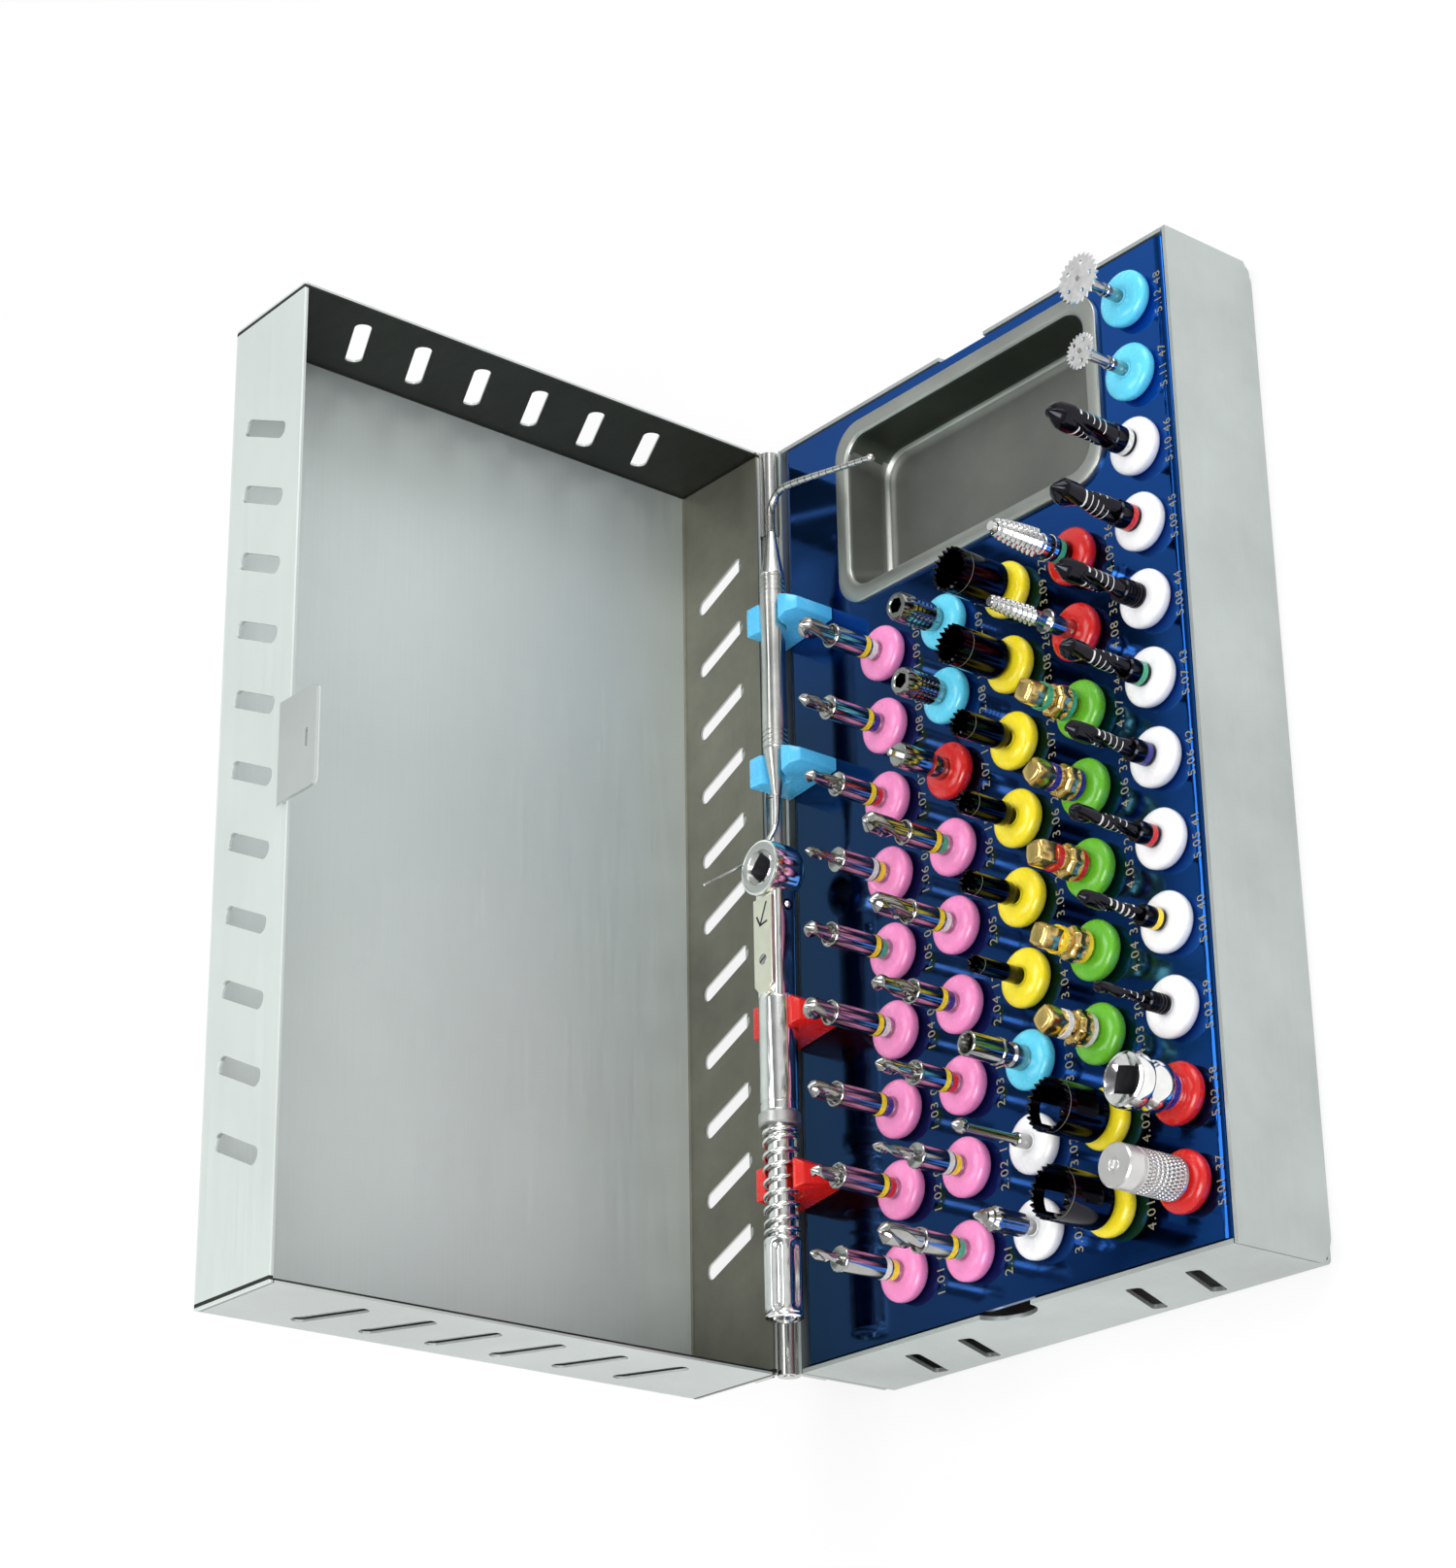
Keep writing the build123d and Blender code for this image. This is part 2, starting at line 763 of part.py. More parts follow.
# the far clip holds the barrel, the near one the spring with room around it
wrench_slots = (spring_radius + 4 * clip_fit, barrel_radius + clip_fit)
wrench_clip_front_y = wrench_y - clip_front_reach
wrench_clip_ledge_y = wrench_clip_front_y + wrench_clip_slope / 2
with BuildPart() as wrench_clips:
    for x, slot in zip(wrench_clip_xs, wrench_slots):
        with BuildSketch(Plane.YZ.offset(x)):
            with BuildLine():
                Polyline(
                    (wrench_clip_front_y, plate_top),
                    (wrench_clip_front_y, plate_top + clip_mouth),
                    (wrench_clip_ledge_y, axis_z + wrench_clip_top - clip_mouth),
                    (wrench_clip_ledge_y + clip_mouth, axis_z + wrench_clip_top),
                    (wrench_y + clip_back_reach, axis_z + wrench_clip_top),
                    (wrench_y + clip_back_reach, plate_top),
                    close=True,
                )
            make_face()
        extrude(amount=wrench_clip_length / 2, both=True)
        with BuildSketch(Plane.YZ.offset(x)):
            with Locations((wrench_y, wrench_z)):
                Circle(slot)
            with Locations((wrench_y, wrench_z + base_height / 2)):
                Rectangle(2 * slot, base_height)
        extrude(amount=wrench_clip_length, both=True, mode=Mode.SUBTRACT)
        sides = toe_sides(x, wrench_clip_front_y, wrench_y - slot, wrench_clip_toe, wrench_clip_length)
        add(sides, mode=Mode.SUBTRACT)
        add(clip_stem(x, wrench_y))
save(wrench_clips.part, "wrench_clips")


# ---------------------------------------------------------------- probe
def along_x(turned, y, z):
    """Lay a turned solid down so that its heights run along X."""
    with BuildPart() as laid:
        with Locations(Location((0, y, z), (0, 90, 0))):
            add(turned)
    return laid.part


def grooved(radius, start, depth, width, pitch, count):
    """Profile points of a row of square grooves."""
    points = []
    for i in range(count):
        x = start + i * pitch
        points += [(radius, x), (radius - depth, x), (radius - depth, x + width), (radius, x + width)]
    return points


probe_groove = (probe_groove_depth, probe_groove_width, probe_groove_pitch, probe_groove_count)
probe_groove_run = (probe_groove_count - 1) * probe_groove_pitch + 2 * probe_groove_width
probe_handle = along_x(
    lathe(
        [(probe_radius, probe_lower_shoulder)]
        + grooved(probe_radius, probe_lower_shoulder + probe_groove_width, *probe_groove)
        + grooved(probe_radius, probe_upper_shoulder - probe_groove_run, *probe_groove)
        + [(probe_radius, probe_upper_shoulder)]
    ),
    probe_y,
    probe_z,
)
save(probe_handle, "probe_handle")

marked_taper = along_x(
    lathe([(probe_radius, probe_upper_shoulder), (probe_neck_radius, probe_upper_end)]), probe_y, probe_z
)
with BuildPart() as probe_marked_tip:
    add(marked_taper)
    with BuildLine(Plane.XY.offset(probe_z)) as rod_path:
        FilletPolyline(
            (probe_upper_end - 1, probe_y),
            (probe_rod_corner_x, probe_y),
            (probe_rod_end_x, probe_rod_end_y),
            radius=probe_rod_bend,
        )
    with BuildSketch(Plane.YZ.offset(probe_upper_end - 1)):
        with Locations((probe_y, probe_z)):
            Circle(probe_rod_radius)
    sweep(path=rod_path.wire())
    with Locations((probe_rod_end_x, probe_rod_end_y, probe_z)):
        Sphere(probe_ball_radius)
save(probe_marked_tip.part, "probe_marked_tip")

needle_taper = along_x(
    lathe([(probe_neck_radius, probe_lower_end), (probe_radius, probe_lower_shoulder)]), probe_y, probe_z
)
# the needle curves round behind the wrench head and up
needle_back_y = wrench_y + head_radius + 2.1 * needle_radius
needle_points = [
    (probe_lower_end + 0.5, probe_y, probe_z),
    (head_x + 1.9 * head_radius, probe_y + needle_offset, probe_z),
    (head_x + head_radius, needle_back_y - 2 * needle_offset, probe_z + 2 * needle_offset),
    (head_x + needle_offset, needle_back_y, probe_z + needle_rise / 2.2),
    (head_x - needle_lean, needle_back_y, probe_z + needle_rise),
]
with BuildPart() as probe_needle_tip:
    add(needle_taper)
    with BuildLine() as needle_path:
        Spline(*needle_points, tangents=[(-1, 0, 0), (-0.55, 0, 1)])
    with BuildSketch(Plane(origin=needle_points[0], z_dir=(-1, 0, 0))):
        Circle(needle_radius)
    sweep(path=needle_path.wire())
save(probe_needle_tip.part, "probe_needle_tip")

# ---------------------------------------------------------------- torque ratchet wrench
head_bottom = wrench_z - head_height / 2
head_top = wrench_z + head_height / 2
wheel_bore = wheel_radius + wheel_clearance
hub_bore = wheel_hub_radius + wheel_clearance
ring_seat = ring_radius + press_clearance
neck_top = wrench_z + neck_height / 2 - cover_thickness
pocket_width = pawl_width + 2 * pawl_gap
pocket_height = pawl_height + 2 * pawl_gap
pawl_start_x = head_x - wheel_radius - 2 * pawl_gap
pocket_end_x = pawl_start_x - pawl_length - pawl_gap

with BuildPart() as wrench_body:
    with BuildSketch(Plane.XY.offset(head_bottom)):
        with Locations((head_x, wrench_y)):
            Circle(head_radius)
    extrude(amount=head_height)
    fillet(wrench_body.edges().group_by(Axis.Z)[0], head_round)
    with BuildSketch(Plane.YZ.offset(neck_end_x)):
        with Locations((wrench_y, wrench_z - cover_thickness / 2)):
            Rectangle(neck_width, neck_height - cover_thickness)
    extrude(amount=head_x - neck_end_x)
    with BuildSketch(Plane.YZ.offset(barrel_end_x)):
        with Locations((wrench_y, wrench_z)):
            Circle(barrel_radius)
    extrude(amount=neck_end_x - barrel_end_x)
    # bore of the wheel, its bottom hole and the seat of the ring
    with BuildSketch(Plane.XY.offset(head_bottom)):
        with Locations((head_x, wrench_y)):
            Circle(hub_bore)
    extrude(amount=head_height, mode=Mode.SUBTRACT)
    with BuildSketch(Plane.XY.offset(head_bottom + ring_thickness)):
        with Locations((head_x, wrench_y)):
            Circle(wheel_bore)
    extrude(amount=head_height, mode=Mode.SUBTRACT)
    with BuildSketch(Plane.XY.offset(head_top - ring_thickness)):
        with Locations((head_x, wrench_y)):
            Circle(ring_seat)
    extrude(amount=head_height, mode=Mode.SUBTRACT)
    # pocket of the pawl, open to the bore and under the cover
    with Locations((head_x, wrench_y, wrench_z)):
        Box(
            head_x - pocket_end_x,
            pocket_width,
            pocket_height,
            align=(Align.MAX, Align.CENTER, Align.CENTER),
            mode=Mode.SUBTRACT,
        )
    with Locations((cover_start_x - pawl_gap, wrench_y, wrench_z)):
        Box(
            cover_start_x - pawl_gap - pocket_end_x,
            pocket_width,
            neck_height,
            align=(Align.MAX, Align.CENTER, Align.MIN),
            mode=Mode.SUBTRACT,
        )
    with Locations((screw_x, wrench_y, neck_top)):
        Cylinder(
            screw_radius,
            2 * (screw_depth - cover_thickness),
            mode=Mode.SUBTRACT,
        )
    with Locations((detent_x, wrench_y - neck_width / 2, wrench_z)):
        Sphere(detent_radius + press_clearance, mode=Mode.SUBTRACT)
    with BuildSketch(Plane.YZ.offset(barrel_end_x)):
        with Locations((wrench_y, wrench_z)):
            Circle(rod_radius + press_clearance)
    extrude(amount=rod_hold, mode=Mode.SUBTRACT)
save(wrench_body.part, "wrench_body")

with BuildPart() as drive_wheel:
    with BuildSketch(Plane.XY.offset(head_bottom + ring_thickness + wheel_clearance)):
        with Locations((head_x, wrench_y)):
            Circle(wheel_radius)
    extrude(amount=head_height - 2 * (ring_thickness + wheel_clearance))
    with BuildSketch(Plane.XY.offset(head_bottom + ring_thickness + wheel_clearance)):
        with Locations((head_x, wrench_y)):
            with PolarLocations(wheel_radius, wheel_tooth_count):
                Circle(wheel_tooth_depth)
    extrude(amount=head_height - 2 * (ring_thickness + wheel_clearance), mode=Mode.SUBTRACT)
    with BuildSketch(Plane.XY.offset(head_bottom)):
        with Locations((head_x, wrench_y)):
            Circle(wheel_hub_radius)
    extrude(amount=head_height)
    with BuildSketch(Plane.XY.offset(head_bottom)):
        with Locations((head_x, wrench_y)):
            Rectangle(drive_square, drive_square)
            Circle(drive_round)
    extrude(amount=head_height, mode=Mode.SUBTRACT)
save(drive_wheel.part, "drive_wheel")

with BuildPart() as head_ring:
    with BuildSketch(Plane.XY.offset(head_top - ring_thickness)):
        with Locations((head_x, wrench_y)):
            Circle(ring_radius)
            Circle(hub_bore, mode=Mode.SUBTRACT)
    extrude(amount=ring_thickness)
save(head_ring.part, "head_ring")

with BuildPart() as pawl:
    with Locations((pawl_start_x, wrench_y, wrench_z)):
        Box(pawl_length, pawl_width, pawl_height, align=(Align.MAX, Align.CENTER, Align.CENTER))
    tip = pawl.edges().filter_by(Axis.Z).group_by(Axis.X)[-1]
    chamfer(tip, length=pawl_width / 3)
save(pawl.part, "pawl")

with BuildPart() as wrench_cover:
    with Locations((cover_start_x, wrench_y, neck_top)):
        Box(
            cover_start_x - neck_end_x,
            cover_width,
            cover_thickness,
            align=(Align.MAX, Align.CENTER, Align.MIN),
        )
    with Locations((screw_x, wrench_y, neck_top)):
        Cylinder(screw_radius, 4 * cover_thickness, mode=Mode.SUBTRACT)
save(wrench_cover.part, "wrench_cover")

with BuildPart() as cover_screw:
    with Locations((screw_x, wrench_y, neck_top + cover_thickness)):
        Cylinder(
            screw_radius - press_clearance,
            screw_depth - press_clearance,
            align=(Align.CENTER, Align.CENTER, Align.MAX),
        )
        Box(
            screw_slot,
            3 * screw_radius,
            2 * screw_slot,
            mode=Mode.SUBTRACT,
        )
save(cover_screw.part, "cover_screw")

with BuildPart() as detent_ball:
    with Locations((detent_x, wrench_y - neck_width / 2, wrench_z)):
        Sphere(detent_radius)
save(detent_ball.part, "detent_ball")

collar_profile = lathe([(collar_radius, collar_end_x), (collar_radius, barrel_end_x)])
with BuildPart() as torque_collar:
    add(along_x(collar_profile, wrench_y, wrench_z))
    with BuildSketch(Plane.YZ.offset(barrel_end_x)):
        with Locations((wrench_y, wrench_z)):
            Circle(rod_radius + press_clearance)
    extrude(amount=collar_end_x - barrel_end_x, mode=Mode.SUBTRACT)
save(torque_collar.part, "torque_collar")

torque_rod = along_x(
    lathe([
        (rod_radius - thread_depth, rod_end_x),
        (rod_radius, rod_end_x + thread_depth),
        (rod_radius, barrel_end_x + rod_hold),
    ]),
    wrench_y,
    wrench_z,
)
save(torque_rod, "torque_rod")

spring_start_x = sleeve_start_x + 1.1 * spring_wire
spring_length = collar_end_x - sleeve_start_x - 2.2 * spring_wire
with BuildPart() as torque_spring:
    with BuildLine() as coil_path:
        coil = Helix(
            pitch=spring_length / spring_coil_count,
            height=spring_length,
            radius=spring_radius - spring_wire,
            center=(spring_start_x, wrench_y, wrench_z),
            direction=(1, 0, 0),
        )
    with BuildSketch(Plane(origin=coil @ 0, z_dir=coil % 0)):
        Circle(spring_wire)
    sweep(path=coil_path.wire(), is_frenet=True)
save(torque_spring.part, "torque_spring")

sleeve_turned = along_x(
    lathe([
        (sleeve_radius - flute_radius, sleeve_end_x),
        (sleeve_radius, sleeve_end_x + flute_radius),
        (sleeve_radius, sleeve_start_x - flute_radius),
        (sleeve_radius - flute_radius / 2, sleeve_start_x),
    ]),
    wrench_y,
    wrench_z,
)
with BuildPart() as torque_sleeve:
    add(sleeve_turned)
    with BuildSketch(Plane.YZ.offset(sleeve_end_x)):
        with Locations((wrench_y, wrench_z)):
            Circle(rod_radius + sleeve_clearance)
            with PolarLocations(sleeve_radius + flute_radius / 3, flute_count):
                Circle(flute_radius)
    extrude(amount=sleeve_start_x - sleeve_end_x, mode=Mode.SUBTRACT)
save(torque_sleeve.part, "torque_sleeve")


# ---------------------------------------------------------------- tools on the plugs
shank = [(shank_radius, press_clearance - shank_depth), (shank_radius, 0)]
bands = {"white": [], "yellow": [], "red": [], "blue": [], "green": []}


def standing(tip):
    """Length above the plug of a tool whose tip is this far above the rim."""
    return axis_z + tip - plug_top


def groove(radius, bottom, height):
    """Profile points of the groove that a colour band fills."""
    return [(radius, bottom), (radius - band_depth, bottom), (radius - band_depth, bottom + height),
            (radius, bottom + height)]


def band(colour, column, row, radius, bottom, height):
    """Colour band in its groove."""
    ring = lathe([(radius, bottom), (radius, bottom + height)])
    with BuildPart() as hoop:
        add(ring)
        with BuildSketch(Plane.XY.offset(bottom)):
            Circle(radius - band_depth + press_clearance)
        extrude(amount=height, mode=Mode.SUBTRACT)
    bands[colour].append((hoop.part, column, row))


def step_drill(pilot, tip, pilot_length):
    """Drill with a narrow pilot, a stop ring and a wide guide body."""
    top = standing(tip)
    stop = top - pilot_length
    return lathe(
        shank
        + [(guide_foot_radius, 0)]
        + groove(guide_foot_radius, lower_band, band_height)
        + [(guide_foot_radius, guide_foot_height), (guide_radius, guide_foot_height)]
        + groove(guide_radius, upper_band, band_height)
        + [(guide_radius, stop), (stop_radius, stop), (stop_radius, stop + stop_height)]
        + [(pilot, stop + stop_height), (pilot, top - point_height), (point_radius, top)]
    )


# pilot size, column, row, tip above the rim, length above the stop, upper band, lower band
step_drills = [
    ("wide", 0, 8, 22.0, 8.2, "yellow", "white"),
    ("slim", 0, 7, 22.5, 7.4, "yellow", "blue"),
    ("slim", 0, 6, 21.5, 8.1, "yellow", "red"),
    ("fine", 0, 5, 21.9, 8.0, "white", "yellow"),
    ("middle", 0, 4, 22.5, 6.4, "yellow", "green"),
    ("wide", 0, 3, 23.1, 6.5, "yellow", "white"),
    ("middle", 0, 2, 22.6, 6.7, "yellow", "blue"),
    ("slim", 0, 1, 22.5, 6.6, "yellow", "red"),
    ("fine", 0, 0, 23.1, 7.1, "white", "yellow"),
    ("wide", 1, 5, 23.0, 10.1, "yellow", "green"),
    ("wide", 1, 4, 21.9, 9.4, "yellow", "white"),
    ("middle", 1, 3, 22.0, 9.5, "yellow", "blue"),
    ("slim", 1, 2, 21.9, 9.4, "yellow", "red"),
    ("fine", 1, 1, 23.1, 10.3, "white", "yellow"),
    ("wide", 1, 0, 22.4, 9.6, "yellow", "green"),
]
for size, pilot in pilot_radii.items():
    chosen = [row for row in step_drills if row[0] == size]
    save(planted([(step_drill(pilot, r[3], r[4]), r[1], r[2]) for r in chosen]), f"step_drills_{size}")
for size, column, row, tip, length, upper, lower in step_drills:
    band(upper, column, row, guide_radius, upper_band, band_height)
    band(lower, column, row, guide_foot_radius, lower_band, band_height)


def trephine(radius, tip, width, height, window_bottom):
    """Tube with a toothed rim, on a stem, with a window on each side."""
    top = standing(tip)
    teeth = max(4, round(2 * math.pi * radius / tooth_pitch))
    outside = lathe(
        shank + [(min(tube_foot, radius), 0), (min(tube_foot, radius), tube_foot / 2)]
        + [(radius, tube_foot), (radius, top)]
    )
    with BuildPart() as tube:
        add(outside)
        with BuildSketch(Plane.XY.offset(top)):
            Circle(radius - tube_wall)
        extrude(amount=tube_floor - top, mode=Mode.SUBTRACT)
        with BuildSketch(Plane.XY.offset(top)):
            with PolarLocations(radius, teeth):
                Rectangle(4 * tube_wall, tooth_width)
        extrude(amount=-tooth_height, mode=Mode.SUBTRACT)
        with Locations((0, 0, window_bottom + height / 2)):
            Box(width, 4 * radius, height, mode=Mode.SUBTRACT)
    return tube.part


def small_trephine(radius, tip):
    """Trephine with narrow windows."""
    return trephine(radius, tip, window_width, window_height, tube_floor)


def large_trephine(tip):
    """Trephine with wide windows."""
    return trephine(large_trephine_radius, tip, wide_window_width, wide_window_height, tube_floor)


save(planted([
    (small_trephine(4.25, 15.9), 2, 8),
    (small_trephine(3.75, 16.4), 2, 7),
]), "trephines_wide")
save(planted([
    (small_trephine(2.5, 15.0), 2, 6),
    (small_trephine(2.25, 14.6), 2, 5),
    (small_trephine(2.15, 14.8), 2, 4),
    (small_trephine(1.6, 14.2), 2, 3),
]), "trephines_narrow")
save(planted([(large_trephine(15.5), 3, 0), (large_trephine(15.2), 3, 1)]), "trephines_large")


def marked_drill(radius, tip, colour, column, row):
    """Twist drill with a hub, which may carry a colour band."""
    hub = 0.5 * radius + drill_hub_extra
    top = standing(tip)
    profile = shank + [(hub, 0)]
    if colour:
        profile += groove(hub, lower_band, band_height)
        band(colour, column, row, hub, lower_band, band_height)
    profile += [(hub, drill_hub_height), (radius - drill_neck, drill_hub_height + drill_neck)]
    profile += [(radius - drill_neck, top / 2), (radius, top / 2 + drill_neck)]
    profile += [(radius, top - point_height), (point_radius, top)]
    return lathe(profile), column, row


# radius, tip above the rim, band, row
marked_drills = [
    (2.6, 23.1, "white", 9),
    (2.4, 23.1, "red", 8),
    (2.1, 23.1, None, 7),
    (1.9, 23.1, "green", 6),
    (1.7, 22.9, "blue", 5),
    (1.5, 23.1, "red", 4),
    (1.4, 22.2, "yellow", 3),
    (1.0, 19.7, None, 2),
]
marked_solids = [marked_drill(radius, tip, c, 4, row) for radius, tip, c, row in marked_drills]
save(planted(marked_solids), "marked_drills")


def saw_disc(radius, tip):
    """Toothed disc with lightening holes, on top of its mandrel."""
    bottom = standing(tip) - saw_thickness
    with BuildPart() as disc:
        with BuildSketch(Plane.XY.offset(bottom)):
            Circle(radius)
            Circle(saw_pin_radius + press_clearance, mode=Mode.SUBTRACT)
            with PolarLocations(radius, saw_tooth_count):
                RegularPolygon(saw_tooth_depth, 3, rotation=180, mode=Mode.SUBTRACT)
            with PolarLocations(radius * 0.6, saw_hole_count):
                Circle(saw_hole_radius, mode=Mode.SUBTRACT)
        extrude(amount=saw_thickness)
    return disc.part


def mandrel(tip):
    """Stem of a saw, with a pin through the disc."""
    top = standing(tip)
    return lathe(
        shank
        + [(mandrel_foot_radius, 0), (mandrel_foot_radius, mandrel_foot_height)]
        + [(mandrel_radius, mandrel_foot_height), (mandrel_radius, top - saw_thickness)]
        + [(saw_pin_radius, top - saw_thickness), (saw_pin_radius, top)]
    )


save(planted([(saw_disc(large_saw_radius, large_saw_tip), 4, 11)]), "saw_disc_large")
save(planted([(saw_disc(small_saw_radius, small_saw_tip), 4, 10)]), "saw_disc_small")
save(planted([(mandrel(large_saw_tip), 4, 11), (mandrel(small_saw_tip), 4, 10)]), "saw_mandrels")


def gold_driver(tip, colour, row):
    """Driver with a square knob, a waist and a scalloped collar, and two colour bands."""
    top = standing(tip)
    knob = top - knob_height
    knob_band = knob - driver_band_height
    waist = knob_band - waist_height
    scallop = waist - scallop_height
    foot_band = scallop - driver_band_height
    stem = lathe(
        shank
        + [(driver_stem_radius, 0), (driver_stem_radius, foot_band)]
        + [(foot_band_radius - band_depth, foot_band), (foot_band_radius - band_depth, scallop)]
        + [(waist_radius, scallop), (waist_radius, knob_band)]
        + [(knob_band_radius - band_depth, knob_band), (knob_band_radius - band_depth, knob)]
    )
    with BuildPart() as driver:
        add(stem)
        with BuildSketch(Plane.XY.offset(scallop)):
            Circle(scallop_radius)
            with PolarLocations(scallop_radius + scallop_cut / 2, scallop_count):
                Circle(scallop_cut, mode=Mode.SUBTRACT)
        extrude(amount=scallop_height)
        with BuildSketch(Plane.XY.offset(knob)):
            RectangleRounded(knob_width, knob_width, knob_corner)
        extrude(amount=knob_height)
    band(colour, 3, row, foot_band_radius, foot_band, driver_band_height)
    band(colour, 3, row, knob_band_radius, knob_band, driver_band_height)
    return driver.part, 3, row


# tip above the rim, band, row
gold_drivers = [
    (15.6, "green", 6),
    (14.6, "blue", 5),
    (15.0, "red", 4),
    (15.0, "yellow", 3),
    (15.0, "white", 2),
]
save(planted([gold_driver(tip, colour, row) for tip, colour, row in gold_drivers]), "gold_drivers")


def carrier(tip):
    """Ribbed cylinder with a hexagon socket in its end."""
    top = standing(tip)
    ribs = (carrier_groove, 2 * carrier_groove, top / 12, carrier_groove_count)
    outside = lathe(
        shank
        + [(carrier_foot_radius, 0), (carrier_radius, top / 5)]
        + grooved(carrier_radius, top / 4, *ribs)
        + [(carrier_radius, top)]
    )
    with BuildPart() as socket:
        add(outside)
        with BuildSketch(Plane.XY.offset(top)):
            RegularPolygon(hex_socket, 6)
        extrude(amount=-socket_depth, mode=Mode.SUBTRACT)
    return socket.part


save(planted([(carrier(13.2), 1, 8), (carrier(12.7), 1, 7)]), "implant_carriers")

hex_top = standing(hex_driver_tip)
with BuildPart() as hex_driver_body:
    add(lathe(shank + [
        (hex_foot_radius, 0),
        (hex_foot_radius, hex_foot_height),
        (hex_body_radius, hex_foot_height + hex_foot_slope),
        (hex_body_radius, hex_top - hex_tip_height),
    ]))
    with BuildSketch(Plane.XY.offset(hex_top - hex_tip_height)):
        RegularPolygon(hex_tip_radius, 6)
    extrude(amount=hex_tip_height)
save(planted([(hex_driver_body.part, 1, 6)]), "hex_driver")

tube_top = standing(tube_driver_tip)
tube_bead_top = tube_top - tube_driver_depth - tube_bead_gap
tube_bead_bottom = tube_bead_top - tube_bead_height - 2 * tube_bead_slope
with BuildPart() as tube_driver_body:
    add(lathe(shank + [
        (tube_driver_radius, 0),
        (tube_driver_radius, tube_foot_height),
        (tube_waist_radius, tube_foot_height + tube_foot_slope),
        (tube_waist_radius, tube_bead_bottom),
        (tube_bead_radius, tube_bead_bottom + tube_bead_slope),
        (tube_bead_radius, tube_bead_top - tube_bead_slope),
        (tube_driver_radius, tube_bead_top),
        (tube_driver_radius, tube_top),
    ]))
    with BuildSketch(Plane.XY.offset(tube_top)):
        Circle(tube_driver_bore)
    extrude(amount=-tube_driver_depth, mode=Mode.SUBTRACT)
save(planted([(tube_driver_body.part, 2, 2)]), "tube_driver")

pointed_top = standing(pointed_tip)
pointed_bead_top = pointed_top - pointed_nose
pointed_bead_bottom = pointed_bead_top - pointed_bead_height
save(planted([(lathe(shank + [
    (pointed_foot_radius, 0),
    (pointed_foot_radius, pointed_foot_height),
    (pointed_stem_radius, pointed_foot_height + pointed_foot_slope),
    (pointed_stem_radius, pointed_bead_bottom - pointed_bead_slope),
    (pointed_bead_radius, pointed_bead_bottom),
    (pointed_bead_radius, pointed_bead_top),
    (point_radius, pointed_top),
]), 2, 1)]), "pointed_mandrel")

screw_top = standing(screw_tool_tip)
screw_flange_top = screw_top - screw_flange_gap
screw_flange_bottom = screw_flange_top - screw_flange_height
save(planted([(lathe(shank + [
    (screw_foot_radius, 0),
    (screw_foot_radius, screw_foot_height),
    (screw_body_radius, screw_foot_height + screw_slope),
    (screw_body_radius, screw_flange_bottom - screw_slope),
    (screw_flange_radius, screw_flange_bottom),
    (screw_flange_radius, screw_flange_top),
    (screw_nose_radius, screw_flange_top + screw_slope),
    (screw_point_radius, screw_top - screw_point_height),
    (point_radius, screw_top),
]), 2, 0)]), "screw_tool")

large_tap_top = standing(large_tap_tip)
band("green", 3, 8, large_tap_hub, 2 * lower_band, band_height)
save(planted([(lathe(
    shank
    + [(large_tap_hub, 0)]
    + groove(large_tap_hub, 2 * lower_band, band_height)
    + [(large_tap_hub, large_tap_hub_height), (large_tap_thread, large_tap_hub_height + large_tap_lead)]
    + [(large_tap_nose, large_tap_top - point_height), (small_tap_nose, large_tap_top)]
), 3, 8)]), "thread_tap_large")

small_tap_top = standing(small_tap_tip)
small_tap_ring_top = small_tap_hub_height + small_tap_ring_height
small_tap_neck_top = small_tap_ring_top + small_tap_neck_height
save(planted([(lathe(
    shank
    + [(small_tap_hub, 0), (small_tap_hub, small_tap_hub_height)]
    + [(small_tap_ring, small_tap_hub_height), (small_tap_ring, small_tap_ring_top)]
    + [(small_tap_neck, small_tap_ring_top), (small_tap_neck, small_tap_neck_top)]
    + [(small_tap_thread, small_tap_neck_top)]
    + [(small_tap_thread, small_tap_top - small_tap_nose_height), (small_tap_nose, small_tap_top)]
), 3, 7)]), "thread_tap_small")

socket_top = standing(socket_driver_tip)
socket_shoulder_bottom = socket_foot_height + socket_shoulder_slope
socket_shoulder_top = socket_shoulder_bottom + socket_shoulder_height
socket_waist = socket_shoulder_top + socket_waist_slope
band("blue", 4, 1, socket_foot_radius, lower_band, band_height)
with BuildPart() as socket_driver_body:
    add(lathe(
        shank
        + [(socket_foot_radius, 0)]
        + groove(socket_foot_radius, lower_band, band_height)
        + [
            (socket_foot_radius, socket_foot_height),
            (socket_shoulder_radius, socket_shoulder_bottom),
            (socket_shoulder_radius, socket_shoulder_top),
            (socket_waist_radius, socket_waist),
            (socket_head_radius, socket_waist + socket_head_slope),
            (socket_head_radius, socket_top),
        ]
    ))
    with BuildSketch(Plane.XY.offset(socket_top)):
        Rectangle(socket_square, socket_square)
    extrude(amount=-2 * socket_depth, mode=Mode.SUBTRACT)
save(planted([(socket_driver_body.part, 4, 1)]), "socket_driver")

